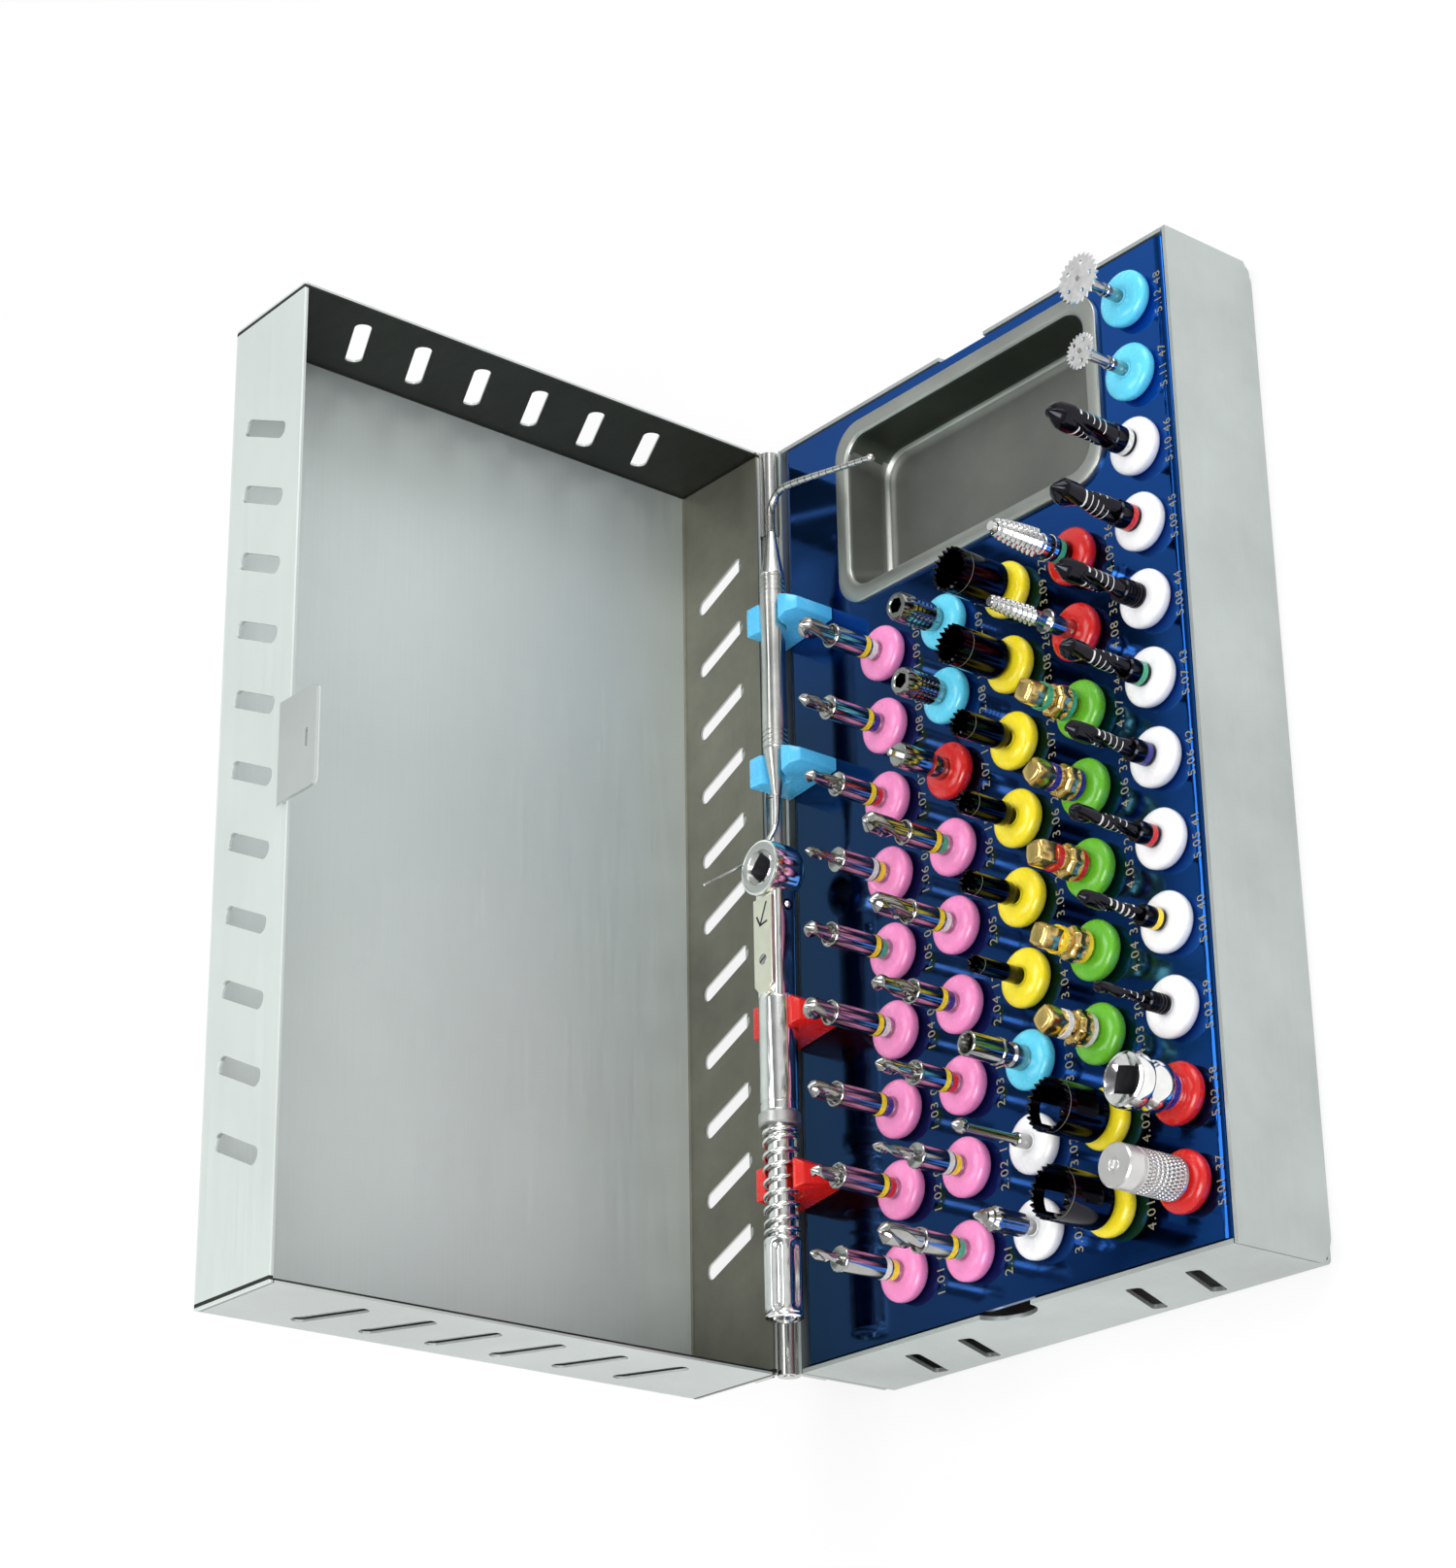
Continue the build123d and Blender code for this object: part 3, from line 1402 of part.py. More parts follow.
thumb_top = standing(thumb_driver_tip)
thumb_cap_bottom = thumb_top - thumb_cap_height
with BuildPart() as thumb_driver_body:
    add(lathe(shank + [
        (thumb_foot_radius, 0),
        (thumb_foot_radius, thumb_foot_height),
        (thumb_radius, thumb_foot_height + thumb_edge),
        (thumb_radius, thumb_cap_bottom - 2 * thumb_groove),
        (thumb_radius - thumb_groove, thumb_cap_bottom - thumb_groove - thumb_edge),
        (thumb_radius - thumb_groove, thumb_cap_bottom - thumb_edge),
        (thumb_radius, thumb_cap_bottom),
        (thumb_radius, thumb_top),
    ]))
    with BuildSketch(Plane.XY.offset(thumb_top)):
        Circle(thumb_dimple_radius)
    extrude(amount=-thumb_groove, mode=Mode.SUBTRACT)
save(planted([(thumb_driver_body.part, 4, 0)]), "thumb_driver")

for colour, hoops in bands.items():
    save(planted(hoops), f"bands_{colour}")
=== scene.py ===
"""Looks of a dental implant cassette: a hinged steel case with a blue tray of drills, drivers, probe and wrench.

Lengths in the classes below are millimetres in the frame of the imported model; meshes are written in metres.
"""

import json
import logging
import math
from dataclasses import dataclass
from enum import Enum
from typing import Callable, Iterable, Sequence

import bmesh
import bpy
from mathutils import Matrix, Vector


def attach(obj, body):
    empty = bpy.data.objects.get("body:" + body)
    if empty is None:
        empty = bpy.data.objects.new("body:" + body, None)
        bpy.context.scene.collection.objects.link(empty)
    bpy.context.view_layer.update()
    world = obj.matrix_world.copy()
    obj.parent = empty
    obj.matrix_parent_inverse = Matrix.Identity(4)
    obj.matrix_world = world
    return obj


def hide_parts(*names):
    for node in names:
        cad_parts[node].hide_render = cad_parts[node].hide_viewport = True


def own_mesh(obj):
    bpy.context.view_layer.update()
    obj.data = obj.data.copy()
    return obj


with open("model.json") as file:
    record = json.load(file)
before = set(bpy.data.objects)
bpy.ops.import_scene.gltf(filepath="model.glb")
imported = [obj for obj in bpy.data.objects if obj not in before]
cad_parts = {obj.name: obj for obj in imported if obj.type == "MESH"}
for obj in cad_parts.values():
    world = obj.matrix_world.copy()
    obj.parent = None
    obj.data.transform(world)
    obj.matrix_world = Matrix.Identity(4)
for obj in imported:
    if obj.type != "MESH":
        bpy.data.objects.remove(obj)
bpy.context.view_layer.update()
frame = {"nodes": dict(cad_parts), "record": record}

log = logging.getLogger("cassette")

Vert, Edge, Face = bmesh.types.BMVert, bmesh.types.BMEdge, bmesh.types.BMFace
Edges = Sequence[Edge]
Socket, Node, Material = bpy.types.NodeSocket, bpy.types.Node, bpy.types.Material

MM = 0.001
TURN = 2 * math.pi
QUARTER = math.pi / 2
RIM_Z = 23.4
PLATE_TOP = 23.1
PLUG_TOP = 26.5
FIRST_ROW_X = -83.0
ROW_PITCH = 166.4 / 11
FIRST_COLUMN_Y = 23.75
COLUMN_PITCH = 17.15
WRENCH_AXIS = (46.45, 33.3)
PROBE_AXIS = (46.85, 32.1)


def seat(column: int, row: int) -> Vector:
    """Middle of a plug's top face."""
    return Vector((FIRST_ROW_X + ROW_PITCH * row, FIRST_COLUMN_Y - COLUMN_PITCH * column, PLUG_TOP))


Triple = tuple[float, float, float]
Colour = Triple
Feed = Socket | float | Sequence[float]


def shade(colour: Colour, factor: float) -> Colour:
    """A lighter or darker version of a colour."""
    return tuple(min(1.0, channel * factor) for channel in colour)


def grey(value: float) -> Colour:
    """A neutral colour."""
    return (value, value, value)


class Tree:
    """Small writer for a node tree, which hands on output sockets."""

    MIX_INPUTS = (0, 6, 7)
    MIX_COLOUR = 2

    def __init__(self, tree: bpy.types.NodeTree) -> None:
        """Write into a tree."""
        self.tree = tree

    def add(self, kind: str, **settings: object) -> Node:
        """Add a node and set its plain properties."""
        node = self.tree.nodes.new(kind)
        for key, value in settings.items():
            setattr(node, key, value)
        return node

    def put(self, sockets: Iterable[Socket], *values: Feed) -> None:
        """Link or set sockets, in order."""
        for socket, value in zip(sockets, values):
            if isinstance(value, Socket):
                self.tree.links.new(value, socket)
            else:
                socket.default_value = value

    def feed(self, node: Node, **values: Feed) -> Node:
        """Link or set sockets by name, written with _ for spaces."""
        self.put((node.inputs[key.replace("_", " ")] for key in values), *values.values())
        return node

    def math(self, operation: str, *values: Feed) -> Socket:
        """Result of a calculation."""
        node = self.add("ShaderNodeMath", operation=operation)
        self.put(node.inputs, *values)
        return node.outputs[0]

    def mix(self, factor: Feed, under: Feed, over: Feed, blend: str = "MIX") -> Socket:
        """Colour laid over another one."""
        node = self.add("ShaderNodeMix", data_type="RGBA", blend_type=blend)
        self.put((node.inputs[place] for place in self.MIX_INPUTS), factor, under, over)
        return node.outputs[self.MIX_COLOUR]

    def mix_shader(self, factor: Feed, under: Node, over: Node) -> Socket:
        """Shader mixed with another one."""
        node = self.add("ShaderNodeMixShader")
        self.put(node.inputs, factor, under.outputs[0], over.outputs[0])
        return node.outputs[0]

    def axes(self, place: Socket) -> tuple[Socket, ...]:
        """X, Y and Z of a place."""
        return tuple(self.feed(self.add("ShaderNodeSeparateXYZ"), Vector=place).outputs)

    def ranged(self, source: Feed, start: float, end: float, low: float = 0.0, high: float = 1.0
               ) -> Socket:
        """Map start to end of a value onto low to high."""
        node = self.feed(self.add("ShaderNodeMapRange"), Value=source, From_Min=start, From_Max=end, To_Min=low,
                         To_Max=high)
        return node.outputs["Result"]

    def ramp(self, source: Feed, *stops: tuple[float, Colour]) -> Socket:
        """Colour ramp of (place, colour) stops over a value."""
        node = self.feed(self.add("ShaderNodeValToRGB"), Fac=source)
        elements = node.color_ramp.elements
        while len(elements) < len(stops):
            elements.new(0.5)
        for element, (position, colour) in zip(elements, stops):
            element.position = position
            element.color = (*colour, 1.0)
        return node.outputs["Color"]


class Graph(Tree):
    """Writer for the tree of one material, with a Principled shader in it.

    Attributes:
        MIDST: Where most of a noise's values lie.
    """

    MIDST = (0.3, 0.7)

    def __init__(self, name: str) -> None:
        """Start a material."""
        self.material = bpy.data.materials.new(name)
        self.material.use_nodes = True
        super().__init__(self.material.node_tree)
        self.tree.nodes.clear()
        self.output = self.add("ShaderNodeOutputMaterial")
        self.shader = self.add("ShaderNodeBsdfPrincipled")
        self.feed(self.output, Surface=self.shader.outputs["BSDF"])
        self.place = self.add("ShaderNodeTexCoord").outputs["Object"]

    def noise(self, *scale: float, detail: float = 3.0, rough: float = 0.55) -> Socket:
        """Noise with one scale, or one for each axis, per metre."""
        mapping = self.feed(self.add("ShaderNodeMapping"), Vector=self.place,
                            Scale=scale * 3 if len(scale) == 1 else scale)
        node = self.feed(self.add("ShaderNodeTexNoise"), Vector=mapping.outputs["Vector"], Scale=1.0, Detail=detail,
                         Roughness=rough)
        return node.outputs[0]

    def spread(self, source: Feed, low: float, high: float) -> Socket:
        """Map the middle of a noise onto low to high."""
        return self.ranged(source, *self.MIDST, low, high)

    def tones(self, source: Feed, colour: Colour, low: float, high: float) -> Socket:
        """A colour that a noise varies between two shades."""
        return self.ramp(source, *zip(self.MIDST, (shade(colour, low), shade(colour, high))))

    def bump(self, source: Feed, depth: float) -> None:
        """Bump of the shader's normal, depth in metres, chained onto any bump made before."""
        node = self.feed(self.add("ShaderNodeBump"), Strength=1.0, Distance=depth, Height=source)
        earlier = self.shader.inputs["Normal"].links
        if earlier:
            self.feed(node, Normal=earlier[0].from_socket)
        self.feed(self.shader, Normal=node.outputs["Normal"])

    def skin(self, clouds: Feed, tones: tuple[Colour, float, float], grain: Feed,
             roughness: Triple, depth: float, **constants: Feed) -> None:
        """Finish of clouds of tone over a fine grain.

        Args:
            clouds: Noise that varies the colour.
            tones: Colour, with its darkest and its lightest factor.
            grain: Noise that varies the roughness and raises the surface.
            roughness: Roughness, with its lowest and its highest factor.
            depth: Depth of the grain, in metres.
            constants: Other sockets of the shader.
        """
        middle, low, high = roughness
        self.feed(self.shader, Base_Color=self.tones(clouds, *tones),
                  Roughness=self.spread(grain, middle * low, middle * high), **constants)
        self.bump(grain, depth)


@dataclass(frozen=True)
class Recipe:
    """What a finish is made of."""

    name: str

    def draw(self, g: Graph) -> None:
        """Write the node tree."""
        raise NotImplementedError

    def build(self) -> Material:
        """Make the material."""
        g = Graph(self.name)
        self.draw(g)
        return g.material


@dataclass(frozen=True)
class RolledSteel(Recipe):
    """Satin sheet steel: fine rolling lines along one axis, cloudy stains and soft dents.

    Attributes:
        grain: Scale of the rolling lines along each axis, per metre.
        cloud: How far the clouds change the colour.
    """

    colour: Colour
    roughness: float = 0.4
    grain: Triple = (40.0, 2500.0, 2500.0)
    cloud: float = 0.12
    metal: float = 1.0
    line_depth: float = 0.000004
    dent_depth: float = 0.00006

    def draw(self, g: Graph) -> None:
        """Write the node tree."""
        g.skin(g.noise(26.0, detail=5.0, rough=0.62), (self.colour, 1 - self.cloud, 1 + self.cloud),
               g.noise(*self.grain, detail=2.0), (self.roughness, 0.86, 1.14), self.line_depth,
               Metallic=self.metal)
        g.bump(g.noise(45.0, detail=1.0), self.dent_depth)


@dataclass(frozen=True)
class LidSheet(Recipe):
    """Sheet of the lid: satin outside and paler on the inner panel, with painted light on the outer face opposite the
    hinge, painted shade on the inner walls, and a painted highlight on the hinge wall towards +X.

    Attributes:
        panel: Colour of the inner panel.
        front: Colour of the outer face opposite the hinge: painted light, paler than the sheet.
        hinge_wall_shade: Painted shade of the inner wall along the hinge, which a painted highlight lightens towards
            +X.
        far_wall_shade: Painted shade of the inner walls at the ends: near black.
        reach: How far from its plane a face may lie.
    """

    colour: Colour
    panel: Colour
    # Painted light and shade, set by where a face lies: the front face paler, the inner walls darker.
    front: Colour = (0.80, 0.87, 0.83)
    hinge_wall_shade: Colour = (0.155, 0.150, 0.120)
    far_wall_shade: Colour = (0.024, 0.027, 0.022)
    panel_y: float = 0.0806
    front_z: float = 0.13505
    hinge_wall_z: float = 0.02685
    far_wall_x: float = 0.0942
    reach: float = 0.00035
    line_depth: float = 0.000004
    dent_depth: float = 0.00003

    def draw(self, g: Graph) -> None:
        """Write the node tree."""
        x, y, z = g.axes(g.place)
        clouds = g.noise(18.0, detail=5.0, rough=0.62)
        streaks = g.noise(30.0, 30.0, 90.0, detail=5.0, rough=0.7)
        inner = g.math("COMPARE", y, self.panel_y, self.reach)
        # Painted light: the outer face opposite the hinge gets a paler colour.
        front = g.math("COMPARE", z, self.front_z, self.reach)
        # Painted shade: the inner wall along the hinge gets a dark colour.
        hinge = g.math("COMPARE", z, self.hinge_wall_z, self.reach)
        # Painted highlight: the hinge wall is lightened more and more towards +X.
        hinge_wall_light = g.math("MULTIPLY", hinge, g.ranged(x, -0.02, 0.08))
        # Painted shade: the inner walls at both ends get a near-black colour.
        ends = g.math("COMPARE", g.math("ABSOLUTE", x), self.far_wall_x, self.reach)
        tone = g.tones(clouds, self.colour, 0.9, 1.1)
        for mask, source, colour, low, high in (
            (inner, clouds, self.panel, 0.96, 1.03),
            (front, clouds, self.front, 0.94, 1.04),
            (hinge, streaks, self.hinge_wall_shade, 0.75, 1.3),
            (hinge_wall_light, streaks, self.hinge_wall_shade, 1.35, 2.1),
            (ends, streaks, self.far_wall_shade, 0.8, 1.4),
        ):
            tone = g.mix(mask, tone, g.tones(source, colour, low, high))
        lines = g.noise(40.0, 2500.0, 2500.0, detail=2.0)
        matte = g.math("MULTIPLY_ADD", inner, 0.16, g.spread(lines, 0.36, 0.46))
        g.feed(g.shader, Base_Color=tone, Roughness=matte, Metallic=0.75)
        g.bump(lines, self.line_depth)
        g.bump(g.noise(45.0, detail=1.0), self.dent_depth)


@dataclass(frozen=True)
class KnurledMetal(Recipe):
    """Frosted metal with rows of small knurled diamonds round an upright axis.

    Attributes:
        middle: (x, y) of the axis, in metres.
        low: Height where the knurling starts, in metres.
        high: Height where it ends, in metres.
    """

    colour: Colour
    middle: tuple[float, float]
    low: float
    high: float
    rows: float = 3400.0
    count: float = 36.0
    depth: float = 0.00012

    def draw(self, g: Graph) -> None:
        """Write the node tree."""
        moved = g.feed(g.add("ShaderNodeMapping"), Vector=g.place, Location=(-self.middle[0], -self.middle[1], 0))
        x, y, z = g.axes(moved.outputs["Vector"])
        waves = [g.math("SINE", g.math("MULTIPLY", source, rate))
                 for source, rate in ((g.math("ARCTAN2", y, x), self.count), (z, self.rows))]
        zone = g.math("COMPARE", z, (self.low + self.high) / 2, (self.high - self.low) / 2)
        dents = g.math("MULTIPLY", g.math("MULTIPLY", *waves), zone)
        stains = g.tones(g.noise(90.0, detail=4.0), self.colour, 0.9, 1.1)
        shadows = g.ramp(dents, (0.0, grey(1.0)), (0.1, grey(1.0)), (0.6, grey(0.5)))
        g.feed(g.shader, Base_Color=g.mix(1.0, stains, shadows, "MULTIPLY"), Metallic=1.0,
               Roughness=g.spread(g.noise(5500.0, detail=1.0), 0.28, 0.4))
        g.bump(dents, self.depth)


@dataclass(frozen=True)
class BlueMirror(Recipe):
    """Deep blue reflective coating with a faint ripple of the sheet, and with painted shade and light: darker at the
    hinge, brighter towards the front and round the dish.
    """

    wave_depth: float = 0.00005
    line_depth: float = 0.000001

    def draw(self, g: Graph) -> None:
        """Write the node tree."""
        x, y, _ = g.axes(g.place)
        across = g.ranged(y, 0.055, -0.055)
        # Painted shade and light: the blue darkens towards the hinge at +Y and brightens towards -Y.
        deep = g.ramp(across, (0.0, (0.013, 0.042, 0.10)), (0.35, (0.009, 0.040, 0.145)),
                      (0.75, (0.008, 0.050, 0.22)), (1.0, (0.012, 0.085, 0.34)))
        # Painted light: a brighter blue that takes over towards the dish at +X.
        bright = g.ramp(across, (0.0, (0.016, 0.085, 0.32)), (1.0, (0.014, 0.10, 0.42)))
        tint = g.mix(g.ranged(x, 0.03, 0.065), deep, bright)
        patches = g.ramp(g.noise(30.0, detail=4.0), *zip(g.MIDST, ((0.7, 0.75, 0.8), grey(1.0))))
        g.feed(g.shader, Base_Color=g.mix(0.5, tint, patches, "MULTIPLY"), Metallic=1.0,
               Roughness=g.spread(g.noise(700.0, 90.0, 90.0), 0.07, 0.13))
        g.bump(g.noise(22.0, 50.0, 50.0, detail=1.0), self.wave_depth)
        g.bump(g.noise(3000.0, 300.0, 300.0, detail=1.0), self.line_depth)


@dataclass(frozen=True)
class Silicone(Recipe):
    """Moulded silicone rubber: glossy skin over a slightly cloudy colour, with a fine orange peel and dust."""

    colour: Colour
    roughness: float = 0.24
    peel_depth: float = 0.000012

    def draw(self, g: Graph) -> None:
        """Write the node tree."""
        g.skin(g.noise(160.0, detail=4.0), (self.colour, 0.88, 1.08), g.noise(900.0, detail=2.0),
               (self.roughness, 0.8, 1.25), self.peel_depth, Specular_IOR_Level=0.5, Subsurface_Weight=0.12,
               Subsurface_Scale=0.0012, Coat_Weight=0.25, Coat_Roughness=0.12)


@dataclass(frozen=True)
class TurnedMetal(Recipe):
    """Machined metal: turning marks round an upright or a lying axis, faint smears and a tint.

    Attributes:
        marks: Scale of the turning marks along each axis, per metre.
    """

    colour: Colour
    roughness: float = 0.14
    marks: Triple = (60.0, 60.0, 60.0)
    coat: float = 0.0
    depth: float = 0.000003

    def draw(self, g: Graph) -> None:
        """Write the node tree."""
        g.skin(g.noise(220.0), (self.colour, 0.88, 1.12), g.noise(*self.marks, detail=1.0),
               (self.roughness, 0.7, 1.3), self.depth, Metallic=1.0, Coat_Weight=self.coat)


@dataclass(frozen=True)
class BlastedMetal(Recipe):
    """Bead-blasted or frosted metal: a fine even grit with soft stains."""

    colour: Colour
    roughness: float = 0.5
    grit: float = 5500.0
    depth: float = 0.00001

    def draw(self, g: Graph) -> None:
        """Write the node tree."""
        g.skin(g.noise(60.0, detail=5.0), (self.colour, 0.85, 1.12), g.noise(self.grit, detail=2.0),
               (self.roughness, 0.85, 1.15), self.depth, Metallic=1.0)


@dataclass(frozen=True)
class Enamel(Recipe):
    """Thin glossy paint in a groove or an engraved figure, or near-black painted shade inside holes and slots, with
    small variations of tone.
    """

    colour: Colour
    roughness: float = 0.25
    metal: float = 0.0
    depth: float = 0.000004

    def draw(self, g: Graph) -> None:
        """Write the node tree."""
        grain = g.noise(1500.0)
        g.skin(grain, (self.colour, 0.8, 1.1), grain, (self.roughness, 0.8, 1.3), self.depth,
               Metallic=self.metal)


@dataclass(frozen=True)
class GraduatedRod(Recipe):
    """Satin rod with dark laser rings across the hinge direction."""

    colour: Colour
    pitch: float = 0.0021
    depth: float = 0.000003

    def draw(self, g: Graph) -> None:
        """Write the node tree."""
        _, y, _ = g.axes(g.place)
        share = g.math("MULTIPLY", g.math("PINGPONG", y, self.pitch / 2), 2 / self.pitch)
        rings = g.ramp(share, (0.0, grey(0.10)), (0.09, grey(0.16)), (0.14, self.colour))
        smears = g.tones(g.noise(220.0), grey(1.0), 0.85, 1.0)
        fine = g.noise(900.0, detail=1.0)
        g.feed(g.shader, Base_Color=g.mix(1.0, rings, smears, "MULTIPLY"), Metallic=1.0,
               Roughness=g.spread(fine, 0.2, 0.32))
        g.bump(fine, self.depth)


class Finish(Enum):
    """Every finish of the cassette: its recipe, and the material slot of the record that it stands for."""

    CASE = (RolledSteel("case_sheet", (0.48, 0.52, 0.505), 0.40, metal=0.85), "case_steel")
    LID = (LidSheet("lid_sheet", (0.56, 0.60, 0.58), (0.66, 0.72, 0.70)), "case_steel")
    HINGE = (RolledSteel("hinge_polished", (0.50, 0.50, 0.48), 0.2), "case_steel")
    PLATE = (BlueMirror("blue_plate_coating"), "blue_plate")
    DISH = (BlastedMetal("dish_blasted", (0.205, 0.215, 0.195), 0.45), "dish_steel")
    # Painted highlight: a lighter, smoother copy of the dish finish for its flange and floor fillet.
    DISH_EDGE_HIGHLIGHT = (BlastedMetal("dish_edge_painted_highlight", (0.42, 0.44, 0.41), 0.38), "dish_steel")
    # Painted shade: a near-black copy of the dish finish for its end wall.
    DISH_END_SHADE = (BlastedMetal("dish_end_painted_shade", (0.075, 0.085, 0.07), 0.45), "dish_steel")
    CLIP_BLUE = (Silicone("clip_blue", (0.10, 0.55, 0.92)), "silicone_blue")
    CLIP_RED = (Silicone("clip_red", (0.72, 0.015, 0.010)), "silicone_red")
    BRIGHT = (TurnedMetal("bright_steel_turned", (0.43, 0.425, 0.41), 0.15), "bright_steel")
    CHROME = (TurnedMetal("chrome_polished", (0.90, 0.90, 0.88), 0.11), "chrome_steel")
    GROUND = (BlastedMetal("ground_frosted", (0.60, 0.60, 0.58), 0.38), "ground_steel")
    PINK = (Silicone("silicone_pink_moulded", (0.88, 0.27, 0.56)), "silicone_pink")
    SKY = (Silicone("silicone_sky_moulded", (0.12, 0.66, 0.90)), "silicone_sky")
    SCARLET = (Silicone("silicone_scarlet_moulded", (0.60, 0.012, 0.010)), "silicone_scarlet")
    YELLOW = (Silicone("silicone_yellow_moulded", (0.93, 0.76, 0.02)), "silicone_yellow")
    GREEN = (Silicone("silicone_green_moulded", (0.13, 0.47, 0.025)), "silicone_green")
    WHITE = (Silicone("silicone_white_moulded", (0.88, 0.88, 0.90)), "silicone_white")
    BLACK = (TurnedMetal("black_coated", (0.018, 0.018, 0.024), 0.15, (60.0, 60.0, 900.0), coat=0.15), "black_coating")
    GOLD = (TurnedMetal("gold_coated", (0.80, 0.56, 0.19), 0.22, (60.0, 60.0, 900.0)), "gold_coating")
    SAW = (TurnedMetal("saw_disc_steel", (0.80, 0.80, 0.79), 0.34, (900.0, 900.0, 900.0)), "bright_steel")
    KNURL = (KnurledMetal("thumb_knurled", (0.74, 0.73, 0.71), (FIRST_ROW_X * MM, -0.04485), 0.0279, 0.0365),
             "ground_steel")
    BAND_WHITE = (Enamel("band_white_enamel", (0.72, 0.72, 0.70)), "band_white")
    BAND_YELLOW = (Enamel("band_yellow_enamel", (0.90, 0.66, 0.03)), "band_yellow")
    BAND_RED = (Enamel("band_red_enamel", (0.55, 0.015, 0.02)), "band_red")
    BAND_BLUE = (Enamel("band_blue_enamel", (0.02, 0.02, 0.22)), "band_blue")
    BAND_GREEN = (Enamel("band_green_enamel", (0.05, 0.35, 0.20)), "band_green")
    ENGRAVED = (Enamel("engraved_line", (0.30, 0.28, 0.20), 0.45, 0.3), "ground_steel")
    # Near-black enamel: the arrow's engraving, and painted shade inside the wheel's bore, the socket's hole and the
    # screw slot.
    ENGRAVING_AND_HOLE_SHADE = (Enamel("engraved_dark", (0.04, 0.04, 0.045), 0.5, 0.2), "ground_steel")
    COVER = (BlastedMetal("cover_plate_pale", (0.86, 0.84, 0.70), 0.36, 3500.0, 0.000006), "ground_steel")
    SATIN = (TurnedMetal("satin_steel_turned", (0.66, 0.66, 0.63), 0.23), "bright_steel")
    GRADUATED = (GraduatedRod("satin_steel_graduated", (0.62, 0.62, 0.59)), "bright_steel")

    @property
    def slot(self) -> str:
        """Material slot of the record."""
        return self.value[1]

    @property
    def index(self) -> int:
        """Place in the list of finishes, which marks faces until the piece is written."""
        return list(Finish).index(self)


class Wardrobe:
    """Makes each finish once and hands out its material."""

    def __init__(self) -> None:
        """Start with nothing made."""
        self.made: dict[Finish, Material] = {}

    def material(self, finish: Finish) -> Material:
        """The material of a finish, made at its first use."""
        if finish not in self.made:
            self.made[finish] = finish.value[0].build()
        return self.made[finish]

    def dress(self, node: str, finish: Finish) -> None:
        """Give a model node its finish."""
        mesh = frame["nodes"][node].data
        mesh.materials.clear()
        mesh.materials.append(self.material(finish))
        log.info("dressed %s as %s", node, finish.name)


Section = Callable[[float], float]


def round_section(radius: float) -> Section:
    """Section of a plain round bar."""
    return lambda angle: radius


def fluted(radius: float, flutes: int, width: float, depth: float, lean: float = 0.0) -> Section:
    """Section of a bar with flutes.

    Args:
        radius: Outer radius.
        flutes: How many flutes.
        width: Share of the turn that the flutes take.
        depth: Depth of a flute as a share of the radius.
        lean: How far the deepest point is moved to one side, from -0.9 to 0.9.

    Returns:
        The radius at an angle.
    """
    def at(angle: float) -> float:
        """Radius at an angle."""
        local = ((angle * flutes / TURN) % 1.0 - 0.5) * 2 / width
        if abs(local) >= 1:
            return radius
        local = local + lean * (1 - local * local)
        return radius * (1 - depth * math.cos(QUARTER * local) ** 0.8)
    return at


def polygonal(across: float, sides: int, rounding: float = 0.0) -> Section:
    """Section of a bar with flats.

    Args:
        across: Distance from the axis to a flat.
        sides: How many flats.
        rounding: Share by which the corners are drawn in, from 0 to 1.

    Returns:
        The radius at an angle.
    """
    def at(angle: float) -> float:
        """Radius at an angle."""
        local = (angle * sides / TURN) % 1.0 - 0.5
        sharp = across / math.cos(local * TURN / sides)
        return across + (sharp - across) * (1 - rounding)
    return at


def bearing(vert: Vert) -> float:
    """Direction of a point round Z."""
    return math.atan2(vert.co.y, vert.co.x) % TURN


def narrow(vert: Vert, share: float) -> None:
    """Move a point towards Z."""
    vert.co.x *= share
    vert.co.y *= share


def points_of(edges: Iterable[Edge]) -> list[Vert]:
    """Points of a set of edges."""
    return list({vert for edge in edges for vert in edge.verts})


def only(kind: type, items: Iterable[object]) -> list:
    """The items of one kind."""
    return [item for item in items if isinstance(item, kind)]


def tooth_step(vert: Vert, segments: int) -> int:
    """Which of the four points of its tooth a point on a rim is."""
    return round(bearing(vert) / TURN * segments) % 4


def added(name: str, data: bpy.types.ID) -> bpy.types.Object:
    """New object in the scene."""
    thing = bpy.data.objects.new(name, data)
    bpy.context.scene.collection.objects.link(thing)
    return thing


def mesh_of(name: str, shape: bmesh.types.BMesh) -> bpy.types.Mesh:
    """Write a shape to a new mesh, and free it."""
    mesh = bpy.data.meshes.new(name)
    shape.to_mesh(mesh)
    shape.free()
    return mesh


def pour(curve: bpy.types.Curve, shape: bmesh.types.BMesh, place: Sequence[float] = (0.0, 0.0, 0.0)) -> None:
    """Add a curve's mesh to a shape at a place, and throw the curve away."""
    holder = bpy.data.objects.new("curve", curve)
    mesh = bpy.data.meshes.new_from_object(holder)
    mesh.transform(Matrix.Translation(place))
    shape.from_mesh(mesh)
    bpy.data.objects.remove(holder)
    bpy.data.curves.remove(curve)
    bpy.data.meshes.remove(mesh)


